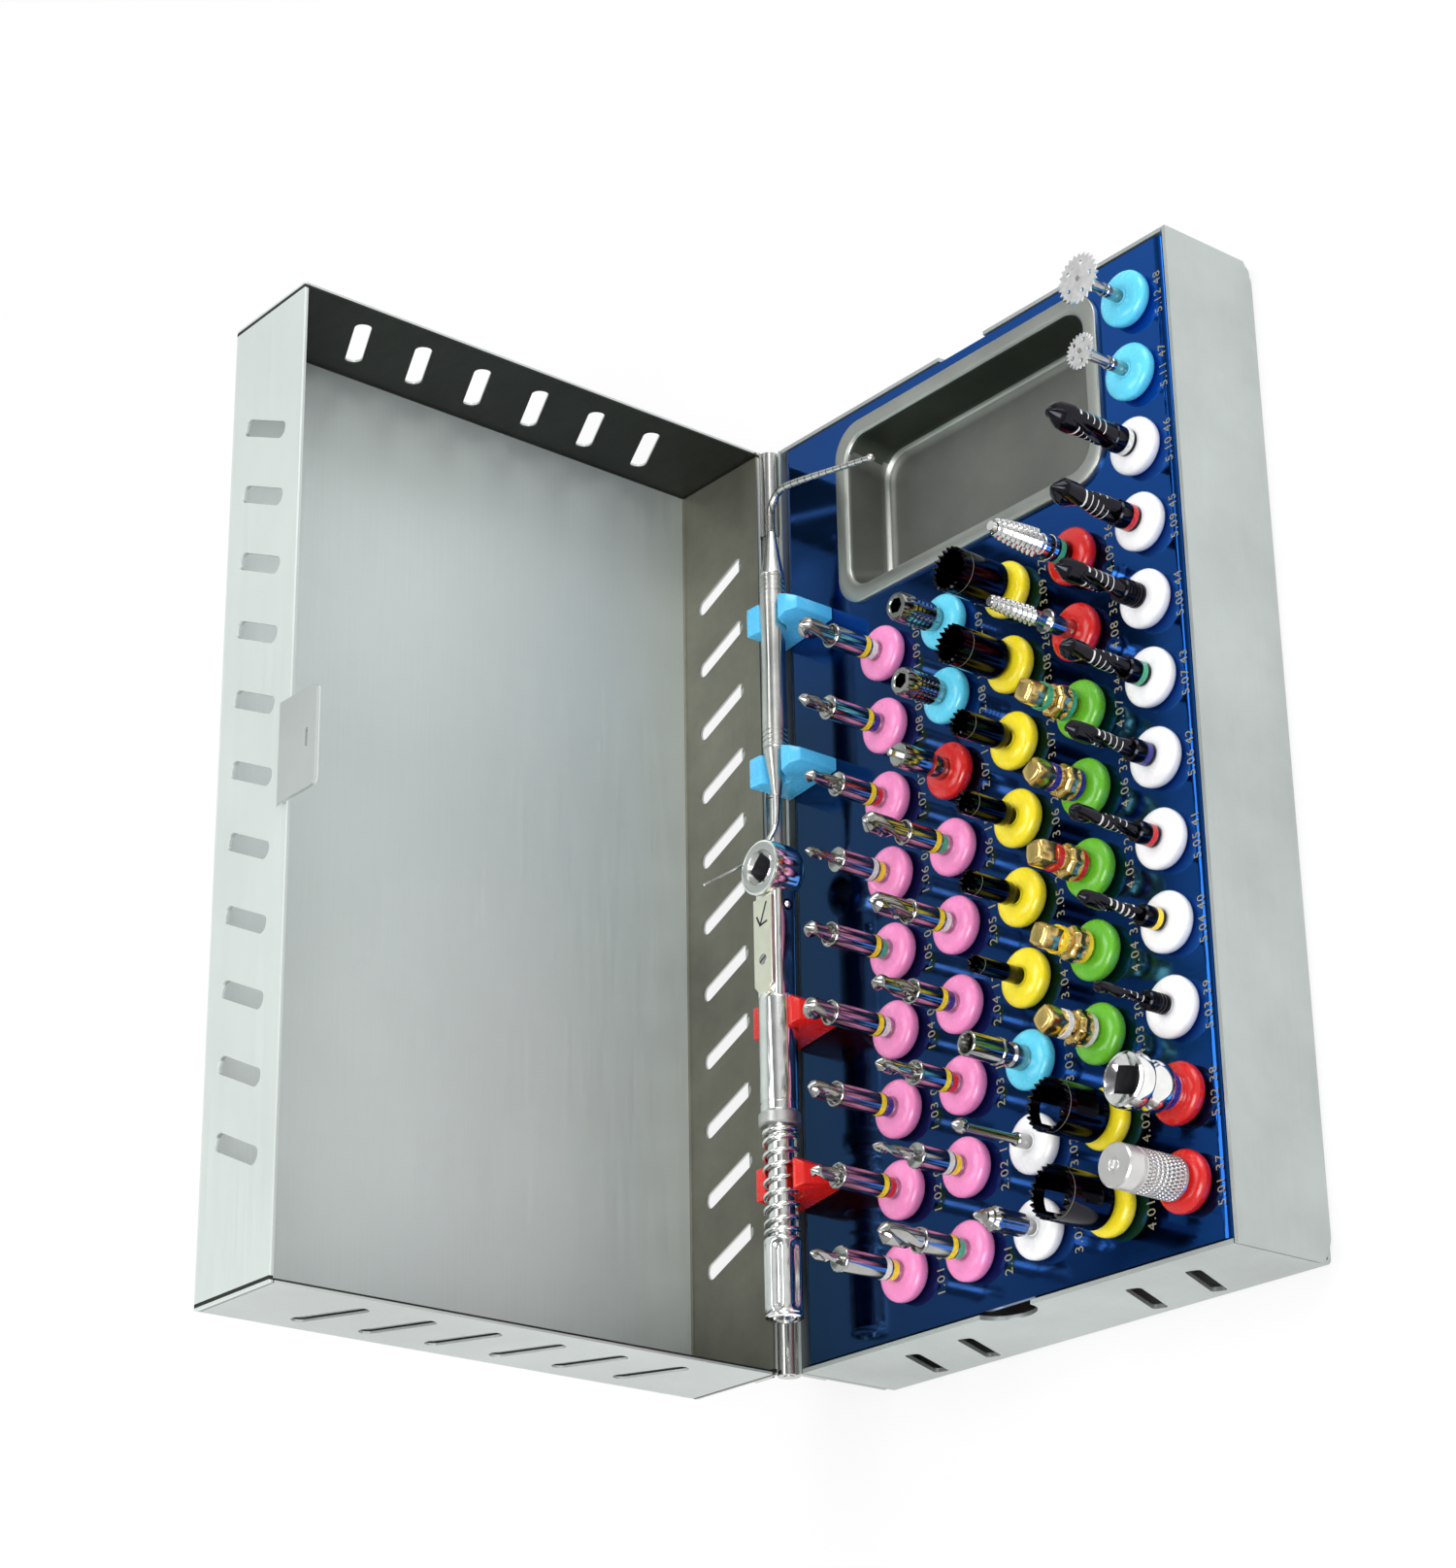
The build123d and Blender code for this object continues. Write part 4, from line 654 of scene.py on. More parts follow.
class Blank:
    """One turned, twisted or cut form on the Z axis, in millimetres."""

    ON_AXIS = 1e-5
    SAME_PLACE = 1e-4
    UPRIGHT = 0.8
    WALL = 0.5

    def __init__(self, finish: Finish, segments: int = 32) -> None:
        """Start an empty form.

        Args:
            finish: Finish of new faces.
            segments: Points round a section.
        """
        self.shape = bmesh.new()
        self.finish = finish
        self.segments = segments

    def paint(self, faces: Iterable[Face]) -> None:
        """Give faces the current finish."""
        index = self.finish.index
        for face in faces:
            face.material_index = index

    def painted(self) -> "Blank":
        """Give every face the current finish."""
        self.paint(self.shape.faces)
        return self

    def line(self, points: Iterable[Sequence[float]], closed: bool = False
             ) -> tuple[list[Vert], list[Edge]]:
        """Points and edges of a line drawn through places."""
        verts = [self.shape.verts.new(point) for point in points]
        ends = verts[1:] + verts[:1] if closed else verts[1:]
        return verts, [self.shape.edges.new(pair) for pair in zip(verts, ends)]

    def turned(self, profile: Sequence[tuple[float, float]], segments: int | None = None) -> "Blank":
        """Turn a closed or an axis-to-axis line of (radius, height) points about Z."""
        old = set(self.shape.faces)
        verts, edges = self.line((radius, 0, height) for radius, height in profile)
        bmesh.ops.spin(self.shape, geom=verts + edges, cent=(0, 0, 0), axis=(0, 0, 1), angle=TURN,
                       steps=segments or self.segments, use_merge=True)
        poles = [v for v in self.shape.verts if math.hypot(v.co.x, v.co.y) < self.ON_AXIS]
        bmesh.ops.remove_doubles(self.shape, verts=poles, dist=self.ON_AXIS)
        self.paint(set(self.shape.faces) - old)
        return self

    def pillar(self, profile: Sequence[tuple[float, float]], segments: int | None = None) -> "Blank":
        """Turn a line of points that is closed along the axis at both ends."""
        return self.turned([(0.0, profile[0][1]), *profile, (0.0, profile[-1][1])], segments)

    def pipe(self, profile: Sequence[tuple[float, float]], segments: int | None = None) -> "Blank":
        """Turn a closed outline that stays clear of the axis."""
        return self.turned([*profile, profile[0]], segments).merged()

    def merged(self) -> "Blank":
        """Join points that lie on each other."""
        bmesh.ops.remove_doubles(self.shape, verts=self.shape.verts[:], dist=self.SAME_PLACE)
        return self

    def loop(self, section: Section, height: float, segments: int | None = None) -> list[Edge]:
        """Edges of a section at a height."""
        made = bmesh.ops.create_circle(self.shape, segments=segments or self.segments, radius=1.0)
        for vert in made["verts"]:
            angle = bearing(vert)
            radius = section(angle)
            vert.co = Vector((radius * math.cos(angle), radius * math.sin(angle), height))
        return list({edge for vert in made["verts"] for edge in vert.link_edges})

    def twist(self, edges: Edges, length: float, angle: float,
              steps: int) -> list[Edge]:
        """Draw a loop upwards while it turns, and return the last loop."""
        old = set(self.shape.faces)
        made = bmesh.ops.spin(self.shape, geom=[*points_of(edges), *edges], cent=(0, 0, 0), axis=(0, 0, 1), angle=angle,
                              dvec=(0, 0, length / steps), steps=steps)
        self.paint(set(self.shape.faces) - old)
        return only(Edge, made["geom_last"])

    def pull(self, edges: Edges, length: float, scale: float = 1.0,
             angle: float = 0.0) -> list[Edge]:
        """Extrude a loop along Z, scaled and turned about the axis, and return the new loop."""
        old = set(self.shape.faces)
        made = bmesh.ops.extrude_edge_only(self.shape, edges=list(edges))["geom"]
        move = Matrix.Translation((0, 0, length)) @ Matrix.Rotation(angle, 4, "Z")
        bmesh.ops.transform(self.shape, matrix=move @ Matrix.Diagonal((scale, scale, 1, 1)),
                            verts=only(Vert, made))
        self.paint(set(self.shape.faces) - old)
        return only(Edge, made)

    def grow(self, edges: Edges, steps: Iterable[tuple[float, float]], unit: float = 1.0,
             angle: float = 0.0) -> list[Edge]:
        """Pull a loop in several steps.

        Args:
            edges: The loop.
            steps: Length and scale of each step.
            unit: What the lengths are shares of.
            angle: Turn of each step.

        Returns:
            The last loop.
        """
        for length, scale in steps:
            edges = self.pull(edges, unit * length, scale, angle)
        return edges

    def raised(self, faces: Sequence[Face], move: Sequence[float]) -> "Blank":
        """Extrude faces along a line."""
        grown = bmesh.ops.extrude_face_region(self.shape, geom=faces)["geom"]
        bmesh.ops.translate(self.shape, vec=move, verts=only(Vert, grown))
        return self

    def bridge(self, *loops: Edges) -> list[Face]:
        """Join two loops by a wall, and return its faces."""
        faces = bmesh.ops.bridge_loops(self.shape, edges=[edge for loop in loops for edge in loop])["faces"]
        self.paint(faces)
        return faces

    def rim(self, height: float) -> list[Edge]:
        """Open edges above a height."""
        return [edge for edge in self.shape.edges if edge.is_boundary and edge.verts[0].co.z > height]

    def soften(self, edges: Edges, offset: float, segments: int = 3,
               clamped: bool = False) -> None:
        """Round edges, with an offset that may be clamped so that they don't overlap."""
        bmesh.ops.bevel(self.shape, geom=edges, offset=offset, segments=segments, profile=0.5, material=-1,
                        affect="EDGES", clamp_overlap=clamped)

    def box(self, size: Sequence[float], middle: Sequence[float]) -> "Blank":
        """Make an empty form a block."""
        bmesh.ops.create_cube(self.shape, size=1.0)
        return self.placed(Matrix.Translation(middle) @ Matrix.Diagonal((*size, 1))).painted()

    def ball(self, radius: float, around: int, upright: int) -> "Blank":
        """Make an empty form a sphere, with a number of faces around and upright."""
        bmesh.ops.create_uvsphere(self.shape, u_segments=around, v_segments=upright, radius=radius)
        return self.painted()

    def tube(self, points: Sequence[tuple[float, float, float, float]]) -> "Blank":
        """Add a smooth round bar that follows (x, y, z, radius) control points."""
        line = bpy.data.curves.new("line", "CURVE")
        line.dimensions = "3D"
        line.bevel_depth = 1.0
        line.bevel_resolution = 4
        line.use_fill_caps = True
        spline = line.splines.new("NURBS")
        spline.points.add(len(points) - 1)
        for point, (x, y, z, radius) in zip(spline.points, points):
            point.co = (x, y, z, 1.0)
            point.radius = radius
        spline.order_u = 3
        spline.use_endpoint_u = True
        spline.resolution_u = 10
        old = set(self.shape.faces)
        pour(line, self.shape)
        self.paint(set(self.shape.faces) - old)
        return self

    def close(self, edges: Edges) -> "Blank":
        """Cap a loop."""
        self.paint(bmesh.ops.contextual_create(self.shape, geom=list(edges))["faces"])
        return self

    def repaint(self, finish: Finish, low: float, high: float) -> "Blank":
        """Give another finish to the side faces whose middle is between two heights."""
        index = finish.index
        for face in self.shape.faces:
            if low <= face.calc_center_median().z <= high and abs(face.normal.z) < self.UPRIGHT:
                face.material_index = index
        return self

    def slit(self, low: float, high: float, middle: float, half_angle: float) -> "Blank":
        """Open a window through a tube's wall and line its edges.

        Args:
            low: Height of the window's bottom.
            high: Height of its top.
            middle: Direction of its middle.
            half_angle: Half its width as an angle.

        Returns:
            The form itself.
        """
        def inside(face: Face) -> bool:
            """Whether a face lies in the window."""
            at = face.calc_center_median()
            off = (math.atan2(at.y, at.x) - middle + math.pi) % TURN - math.pi
            return low < at.z < high and abs(off) < half_angle and abs(face.normal.z) < self.WALL

        faces = [face for face in self.shape.faces if inside(face)]
        before = {edge for face in faces for edge in face.edges}
        bmesh.ops.delete(self.shape, geom=faces, context="FACES")
        rims = [edge for edge in before if edge.is_valid and len(edge.link_faces) == 1]
        self.bridge(rims)
        return self

    def placed(self, matrix: Matrix) -> "Blank":
        """Move the form by a matrix."""
        bmesh.ops.transform(self.shape, matrix=matrix, verts=self.shape.verts[:])
        return self

    def moved(self, place: Sequence[float], angle: float = 0.0) -> "Blank":
        """Turn the form about Z and stand it at a place."""
        return self.placed(Matrix.Translation(place) @ Matrix.Rotation(angle, 4, "Z"))

    def laid(self, axis: tuple[float, float]) -> "Blank":
        """Lay the form down so that its heights run along X at a (y, z) place."""
        return self.placed(Matrix.Translation((0, *axis)) @ Matrix.Rotation(QUARTER, 4, "Y"))


class Piece:
    """Blanks gathered in one mesh object that stands for model nodes."""

    def __init__(self, name: str, body: str, wardrobe: Wardrobe) -> None:
        """Start an empty piece.

        Args:
            name: Name of the object.
            body: Body that it moves with.
            wardrobe: Where its finishes come from.
        """
        self.name = name
        self.body = body
        self.wardrobe = wardrobe
        self.shape = bmesh.new()

    def add(self, *blanks: Blank) -> "Piece":
        """Take in blanks, with their faces turned outwards."""
        for blank in blanks:
            bmesh.ops.recalc_face_normals(blank.shape, faces=blank.shape.faces[:])
            carrier = mesh_of("carrier", blank.shape)
            self.shape.from_mesh(carrier)
            bpy.data.meshes.remove(carrier)
        return self

    def done(self, main: Finish, *nodes: str, smooth: float = 35.0) -> bpy.types.Object:
        """Write the mesh and hide the nodes that it stands for.

        Args:
            main: Finish of the piece's record slot; the slot is only looked up, and the piece does not take it.
            nodes: Model nodes that it replaces.
            smooth: Edges sharper than this many degrees stay sharp.

        Returns:
            The finished object.
        """
        bmesh.ops.transform(self.shape, matrix=Matrix.Scale(MM, 4), verts=self.shape.verts[:])
        used = sorted({face.material_index for face in self.shape.faces})
        for face in self.shape.faces:
            face.material_index = used.index(face.material_index)
            face.smooth = True
        mesh = mesh_of(self.name, self.shape)
        for index in used:
            mesh.materials.append(self.wardrobe.material(list(Finish)[index]))
        mesh.set_sharp_from_angle(angle=math.radians(smooth))
        thing = added(self.name, mesh)
        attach(thing, self.body)
        main.slot
        if nodes:
            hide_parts(*nodes)
        log.info("%s: %d faces on %s for %s", self.name, len(mesh.polygons), self.body, ", ".join(nodes) or "nothing")
        return thing
@dataclass
class Group:
    """Pieces of one kind.

    Attributes:
        BODY: Body that they move with.
    """

    BODY = "tray"

    wardrobe: Wardrobe

    def piece(self, name: str, *blanks: Blank, body: str | None = None) -> Piece:
        """Piece of this group's body, or of another one, with blanks in it."""
        return Piece(name, body or self.BODY, self.wardrobe).add(*blanks)

    def build(self) -> None:
        """Make the pieces."""
        raise NotImplementedError


@dataclass
class Dish(Group):
    """Bone dish pressed from one sheet: rolled flange, drafted walls and a rounded floor, with a painted highlight on
    the flange and the floor fillet and painted shade on the end wall at +X.
    """

    BODY = "dish"

    middle_x: float = 71.5
    half_length: float = 19.75
    half_width: float = 36.4
    # Rows given a painted highlight: the flange and the fillet into the floor.
    highlight_rows: tuple[int, ...] = (0, 1, 2, 3, 4, 5, 9)
    # Wall rows whose part at the +X end gets painted shade.
    end_shade_rows: tuple[int, ...] = (6, 7, 8)
    end_depth: float = 6.5

    def ring(self, blank: Blank, inset: float, corner: float, height: float) -> list[Edge]:
        """Rounded rectangle, drawn in from the flange's outline by an inset."""
        edges = blank.loop(round_section(corner), height, 48)
        bmesh.ops.rotate(blank.shape, cent=(0, 0, 0), matrix=Matrix.Rotation(TURN / 96, 3, "Z"),
                         verts=points_of(edges))
        for vert in points_of(edges):
            vert.co.x += math.copysign(self.half_length - inset - corner, vert.co.x)
            vert.co.y += math.copysign(self.half_width - inset - corner, vert.co.y)
        return edges

    def build(self) -> None:
        """Make the dish."""
        top = PLATE_TOP + 1.0
        blank = Blank(Finish.DISH)
        rows = [(0.0, 7.0, top - 0.98), (0.0, 7.0, top - 0.35), (0.12, 6.9, top - 0.12), (0.4, 6.7, top),
                (2.7, 5.6, top), (3.1, 5.3, top - 0.12), (3.4, 5.1, top - 0.45), (3.6, 5.0, top - 1.1),
                (4.65, 5.6, top - 7.6), (4.95, 5.6, top - 8.7), (5.5, 5.3, top - 9.5), (6.3, 4.8, top - 9.9),
                (7.2, 4.2, top - 10.0)]
        under = [(7.2, 4.2, top - 10.98), (5.6, 5.4, top - 10.6), (4.6, 6.0, top - 9.4), (4.0, 6.2, top - 7.6),
                 (2.9, 5.8, top - 1.4), (2.9, 5.8, top - 0.98)]
        loops = [self.ring(blank, *row) for row in rows]
        for place, (upper, lower) in enumerate(zip(loops, loops[1:])):
            # Painted highlight on the flange and floor fillet rows.
            blank.finish = Finish.DISH_EDGE_HIGHLIGHT if place in self.highlight_rows else Finish.DISH
            faces = blank.bridge(upper, lower)
            # Painted shade on the end wall, within end_depth of the +X end.
            if place in self.end_shade_rows:
                blank.finish = Finish.DISH_END_SHADE
                blank.paint(face for face in faces if face.calc_center_median().x > self.half_length - self.end_depth)
        blank.finish = Finish.DISH
        blank.close(loops[-1])
        bottoms = [self.ring(blank, *row) for row in under]
        for lower, upper in zip(bottoms, bottoms[1:]):
            blank.bridge(lower, upper)
        blank.close(bottoms[0])
        blank.bridge(bottoms[-1], loops[0])
        dish = self.piece("rounded_bone_dish", blank.moved((self.middle_x, 0, 0)))
        dish.done(Finish.DISH, "bone_dish", smooth=60)


@dataclass
class Plugs(Group):
    """Silicone plugs: round cushions with a dimpled middle that grips a shank."""

    radius: float = 5.45
    height: float = 3.4
    dome: float = 1.5
    foot: float = 4.55
    flat: float = 2.4
    dimple: float = 0.5
    bore: float = 1.2

    def places(self) -> dict[str, tuple[Finish, list[tuple[int, int]]]]:
        """Finish of the plugs of each colour, and the column and row of each plug."""
        return {
            "pink": (Finish.PINK, [(0, r) for r in range(9)] + [(1, r) for r in range(6)]),
            "sky": (Finish.SKY, [(1, 7), (1, 8), (2, 2), (4, 10), (4, 11)]),
            "red": (Finish.SCARLET, [(1, 6), (3, 7), (3, 8), (4, 0), (4, 1)]),
            "yellow": (Finish.YELLOW, [(2, r) for r in range(3, 9)] + [(3, 0), (3, 1)]),
            "green": (Finish.GREEN, [(3, r) for r in range(2, 7)]),
            "white": (Finish.WHITE, [(2, 0), (2, 1)] + [(4, r) for r in range(2, 10)]),
        }

    def plug(self, finish: Finish) -> Blank:
        """One plug with its neck and its tail under the plate."""
        profile = [(self.bore, -11.1), (self.bore, -0.35), (self.bore + 0.25, -self.dimple)]
        profile += [(self.flat - 0.4, -0.08), (self.flat, 0.0)]
        reach = self.radius - self.flat
        for step in range(1, 9):
            angle = step / 8 * QUARTER
            profile.append((self.flat + reach * math.sin(angle), self.dome * (math.cos(angle) - 1)))
        for step in range(1, 6):
            angle = step / 5 * QUARTER
            profile.append((self.foot + (self.radius - self.foot) * math.cos(angle),
                            -self.dome - (self.height - self.dome) * math.sin(angle)))
        profile += [(3.95, -self.height), (3.95, -4.4), (4.65, -4.5), (4.6, -5.2), (3.4, -12.7), (2.9, -13.1)]
        profile.append((0.0, -13.1))
        return Blank(finish, 36).turned(profile)

    def build(self) -> None:
        """Make one piece of plugs for each colour."""
        for colour, (finish, places) in self.places().items():
            piece = self.piece(f"plug_cushions_{colour}")
            piece.add(*(self.plug(finish).moved(seat(*place)) for place in places))
            piece.done(finish, f"plugs_{colour}", smooth=50)


def standing(tip: float) -> float:
    """Height above its plug of a tool whose tip is this far above the rim."""
    return RIM_Z + tip - PLUG_TOP


SHANK = [(1.175, -11.5), (1.175, 0.0)]


def groove(radius: float, bottom: float, height: float = 1.2) -> list[tuple[float, float]]:
    """Profile of the groove that a colour band fills."""
    return [(radius, bottom), (radius - 0.3, bottom), (radius - 0.3, bottom + height), (radius, bottom + height)]


@dataclass
class StepDrills(Group):
    """Guided drills: a polished guide body, a stop ring and a twisted pilot."""

    guide: float = 2.15
    foot: float = 1.85
    foot_height: float = 2.3
    stop_radius: float = 2.36
    stop_height: float = 0.5
    point_height: float = 1.5

    def pilot(self, radius: float, bottom: float, top: float) -> Blank:
        """Two-fluted twisted pilot with a split point."""
        blank = Blank(Finish.BRIGHT)
        ring = blank.loop(fluted(radius, 2, 0.56, 0.5, 0.4), bottom, 56)
        length = top - self.point_height - bottom
        ring = blank.twist(ring, length, length * 0.6 / radius, 30)
        return blank.close(blank.grow(ring, ((0.3, 0.84), (0.4, 0.56), (0.3, 0.12)), self.point_height, 0.1))

    def body(self, stop: float, radius: float) -> Blank:
        """Shank, foot and guide body up to a stop ring, which is hollowed round a pilot of some radius."""
        profile = [*SHANK, (self.foot - 0.15, 0), (self.foot, 0.15), *groove(self.foot, 0.8)]
        profile += [(self.foot, self.foot_height - 0.1), (self.foot - 0.2, self.foot_height)]
        profile += [(self.guide - 0.15, self.foot_height), (self.guide, self.foot_height + 0.15)]
        profile += groove(self.guide, 2.7)
        profile += [(self.guide, stop - 0.3), (self.guide - 0.12, stop - 0.25), (self.guide - 0.12, stop)]
        profile += [(self.stop_radius, stop), (self.stop_radius, stop + self.stop_height - 0.12)]
        face = stop + self.stop_height
        profile += [(self.stop_radius - 0.12, face), (self.stop_radius - 0.3, face)]
        profile += [(min(radius + 0.1, 2.0), face - 0.5), (0.6, face - 0.5)]
        return Blank(Finish.BRIGHT, 36).pillar(profile)

    def build(self) -> None:
        """Make the drills, one piece for each pilot size."""
        sizes = {
            "wide": (1.95, [(0, 8, 22.0, 8.2), (0, 3, 23.1, 6.5), (1, 5, 23.0, 10.1), (1, 4, 21.9, 9.4),
                            (1, 0, 22.4, 9.6)]),
            "middle": (1.6, [(0, 4, 22.5, 6.4), (0, 2, 22.6, 6.7), (1, 3, 22.0, 9.5)]),
            "slim": (1.3, [(0, 7, 22.5, 7.4), (0, 6, 21.5, 8.1), (0, 1, 22.5, 6.6), (1, 2, 21.9, 9.4)]),
            "fine": (0.95, [(0, 5, 21.9, 8.0), (0, 0, 23.1, 7.1), (1, 1, 23.1, 10.3)]),
        }
        for size, (radius, places) in sizes.items():
            piece = self.piece(f"guided_drills_{size}")
            for column, row, tip, length in places:
                top, spin = standing(tip), 2.4 * row + 1.1 * column
                for blank in (self.body(top - length, radius), self.pilot(radius, top - length, top)):
                    piece.add(blank.moved(seat(column, row), spin))
            piece.done(Finish.BRIGHT, f"step_drills_{size}")


@dataclass
class Trephines(Group):
    """Tube saws with a toothed rim, a depth line and a window on each side."""

    wall: float = 0.5
    tooth: float = 1.15
    tooth_pitch: float = 1.25
    floor: float = 4.2

    def tube(self, radius: float, tip: float, window: tuple[float, float]) -> Blank:
        """One trephine.

        Args:
            radius: Outer radius.
            tip: Height of the teeth above the rim of the case.
            window: Width and height of its windows.

        Returns:
            The form.
        """
        top = standing(tip)
        teeth = max(8, round(TURN * radius / self.tooth_pitch))
        segments = teeth * 4
        inner = radius - self.wall
        foot = min(1.6, radius)
        low, high = self.floor, self.floor + window[1]
        ring = top - 0.42 * (top - high) - 0.4
        outside = [(foot, 0.0), (foot, 0.8), (radius - 0.1, 1.5), (radius, 1.7), (radius, low), (radius, high)]
        outside += [(radius, ring), (radius - 0.07, ring + 0.05), (radius - 0.07, ring + 0.2), (radius, ring + 0.25)]
        outside += [(radius, top - self.tooth), (radius, top)]
        inside = [(inner, top), (inner, top - self.tooth), (inner, high), (inner, low)]
        blank = Blank(Finish.BLACK, segments).pillar([*SHANK, *outside, *inside])
        for vert in blank.shape.verts:
            if vert.co.z > top - 0.001:
                vert.co.z -= (0.0, 0.35, 1.0, 0.7)[tooth_step(vert, segments)] * self.tooth
        half = window[0] / 2 / radius
        for middle in (QUARTER, -QUARTER):
            blank.slit(low, high, middle, half)
        blank.repaint(Finish.ENGRAVED, ring, ring + 0.25)
        return blank

    def build(self) -> None:
        """Make the small, the narrow and the large trephines."""
        groups = {
            "wide": [(4.25, 15.9, (2, 8)), (3.75, 16.4, (2, 7))],
            "narrow": [(2.5, 15.0, (2, 6)), (2.25, 14.6, (2, 5)), (2.15, 14.8, (2, 4)), (1.6, 14.2, (2, 3))],
            "large": [(4.75, 15.5, (3, 0)), (4.75, 15.2, (3, 1))],
        }
        for group, members in groups.items():
            window = (4.4, 5.0) if group == "large" else (0.9, 3.0)
            piece = self.piece(f"toothed_trephines_{group}")
            for radius, tip, (column, row) in members:
                piece.add(self.tube(radius, tip, window).moved(seat(column, row)))
            piece.done(Finish.BLACK, f"trephines_{group}")


@dataclass
class MarkedDrills(Group):
    """Black twist drills with white depth rings, on banded hubs."""

    hub_height: float = 4.6
    head: float = 6.0
    neck: float = 0.25
    marks: tuple[float, ...] = (6.8, 8.2, 9.6, 11.0, 12.4, 15.4)
    mark_width: float = 0.22
    core_share: float = 0.88

    def hub(self, radius: float, banded: bool) -> Blank:
        """Hub with a groove for a band, or knurled where there is none."""
        wide = 0.5 * radius + 1.25
        profile = [*SHANK, (wide - 0.15, 0), (wide, 0.15)]
        if banded:
            profile += groove(wide, 0.8)
        else:
            for i in range(5):
                profile += [(wide, 0.6 + 0.8 * i), (wide - 0.22, 0.75 + 0.8 * i), (wide - 0.22, 1.0 + 0.8 * i),
                            (wide, 1.15 + 0.8 * i)]
        profile += [(wide, self.hub_height - 0.3), (wide - 0.3, self.hub_height)]
        return Blank(Finish.BLACK).pillar(profile)

    def bit(self, radius: float, top: float) -> Blank:
        """Fluted body with white rings and a faceted point."""
        blank = Blank(Finish.BLACK)
        section = fluted(radius - self.neck, 2, 0.52, 0.5, 0.45)
        ring = blank.loop(section, self.hub_height - 0.1, 56)
        length = top - self.head - self.hub_height + 0.1
        lead = math.pi / (radius * 6.5)
        ring = blank.twist(ring, length, length * lead, round(length / 0.2))
        ring = blank.pull(ring, 0.25, radius / (radius - self.neck))
        point = 1.1 * radius
        ring = blank.twist(ring, self.head - 0.25 - point, (self.head - point) * lead, 12)
        blank.close(blank.grow(ring, ((0.1, 0.96), (0.3, 0.8), (0.35, 0.5), (0.25, 0.1)), point, 0.06))
        for mark in self.marks:
            if top - mark > self.hub_height:
                blank.repaint(Finish.BAND_WHITE, top - mark - self.mark_width / 2, top - mark + self.mark_width / 2)
        core = (radius - self.neck) * self.core_share
        blank.paint(face for face in blank.shape.faces if math.hypot(*face.calc_center_median().xy) < core)
        return blank

    def build(self) -> None:
        """Make the row of drills in one piece."""
        drills = [(2.6, 23.1, True, 9), (2.4, 23.1, True, 8), (2.1, 23.1, False, 7), (1.9, 23.1, True, 6),
                  (1.7, 22.9, True, 5), (1.5, 23.1, True, 4), (1.4, 22.2, True, 3), (1.0, 19.7, False, 2)]
        piece = self.piece("depth_marked_drills")
        for radius, tip, banded, row in drills:
            piece.add(self.hub(radius, banded).moved(seat(4, row)))
            piece.add(self.bit(radius, standing(tip)).moved(seat(4, row), 1.9 * row))
        piece.done(Finish.BLACK, "marked_drills")


@dataclass
class Saws(Group):
    """Two toothed discs with lightening holes, on ground mandrels."""

    thickness: float = 0.5
    teeth: int = 24
    tooth: float = 0.75
    hole: float = 0.45
    holes: int = 5

    def disc(self, radius: float, tip: float) -> Blank:
        """Disc with hooked teeth and a ring of holes, raised to its thickness."""
        blank = Blank(Finish.SAW)
        bottom = standing(tip) - self.thickness
        rim = blank.loop(round_section(radius), bottom, self.teeth * 4)
        for vert in points_of(rim):
            narrow(vert, 1 - (0.0, 0.45, 1.0, 0.75)[tooth_step(vert, self.teeth * 4)] * self.tooth / radius)
        edges = list(rim)
        for i in range(self.holes):
            angle = TURN * i / self.holes
            hole = blank.loop(round_section(self.hole), bottom, 16)
            away = Vector((math.cos(angle), math.sin(angle), 0)) * radius * 0.6
            bmesh.ops.translate(blank.shape, vec=away, verts=points_of(hole))
            edges += hole
        made = bmesh.ops.triangle_fill(blank.shape, use_beauty=True, use_dissolve=False, edges=edges)
        return blank.raised(only(Face, made["geom"]), (0, 0, self.thickness * 0.8)).painted()

    def mandrel(self, tip: float) -> Blank:
        """Stem with a latch groove and a domed screw head."""
        top = standing(tip)
        disc = top - self.thickness
        profile = [*SHANK, (1.1, 0), (1.25, 0.15), (1.25, 3.2), (1.1, 3.35), (1.1, 3.6), (1.25, 3.75), (1.25, 4.0)]
        profile += [(1.0, 4.15), (1.0, disc - 0.5), (1.25, disc - 0.4), (1.25, disc), (0.55, disc)]
        profile += [(0.55, top - 0.1), (0.5, top)]
        return Blank(Finish.BRIGHT, 24).pillar(profile)

    def build(self) -> None:
        """Make the two discs and their mandrels."""
        mandrels = self.piece("saw_stems")
        for size, radius, tip, row in (("large", 5.0, 13.3, 11), ("small", 3.5, 13.9, 10)):
            disc = self.piece(f"saw_{size}_toothed")
            disc.add(self.disc(radius, tip).moved(seat(4, row), 0.2 * row))
            disc.done(Finish.BRIGHT, f"saw_disc_{size}")
            mandrels.add(self.mandrel(tip).moved(seat(4, row)))
        mandrels.done(Finish.BRIGHT, "saw_mandrels")


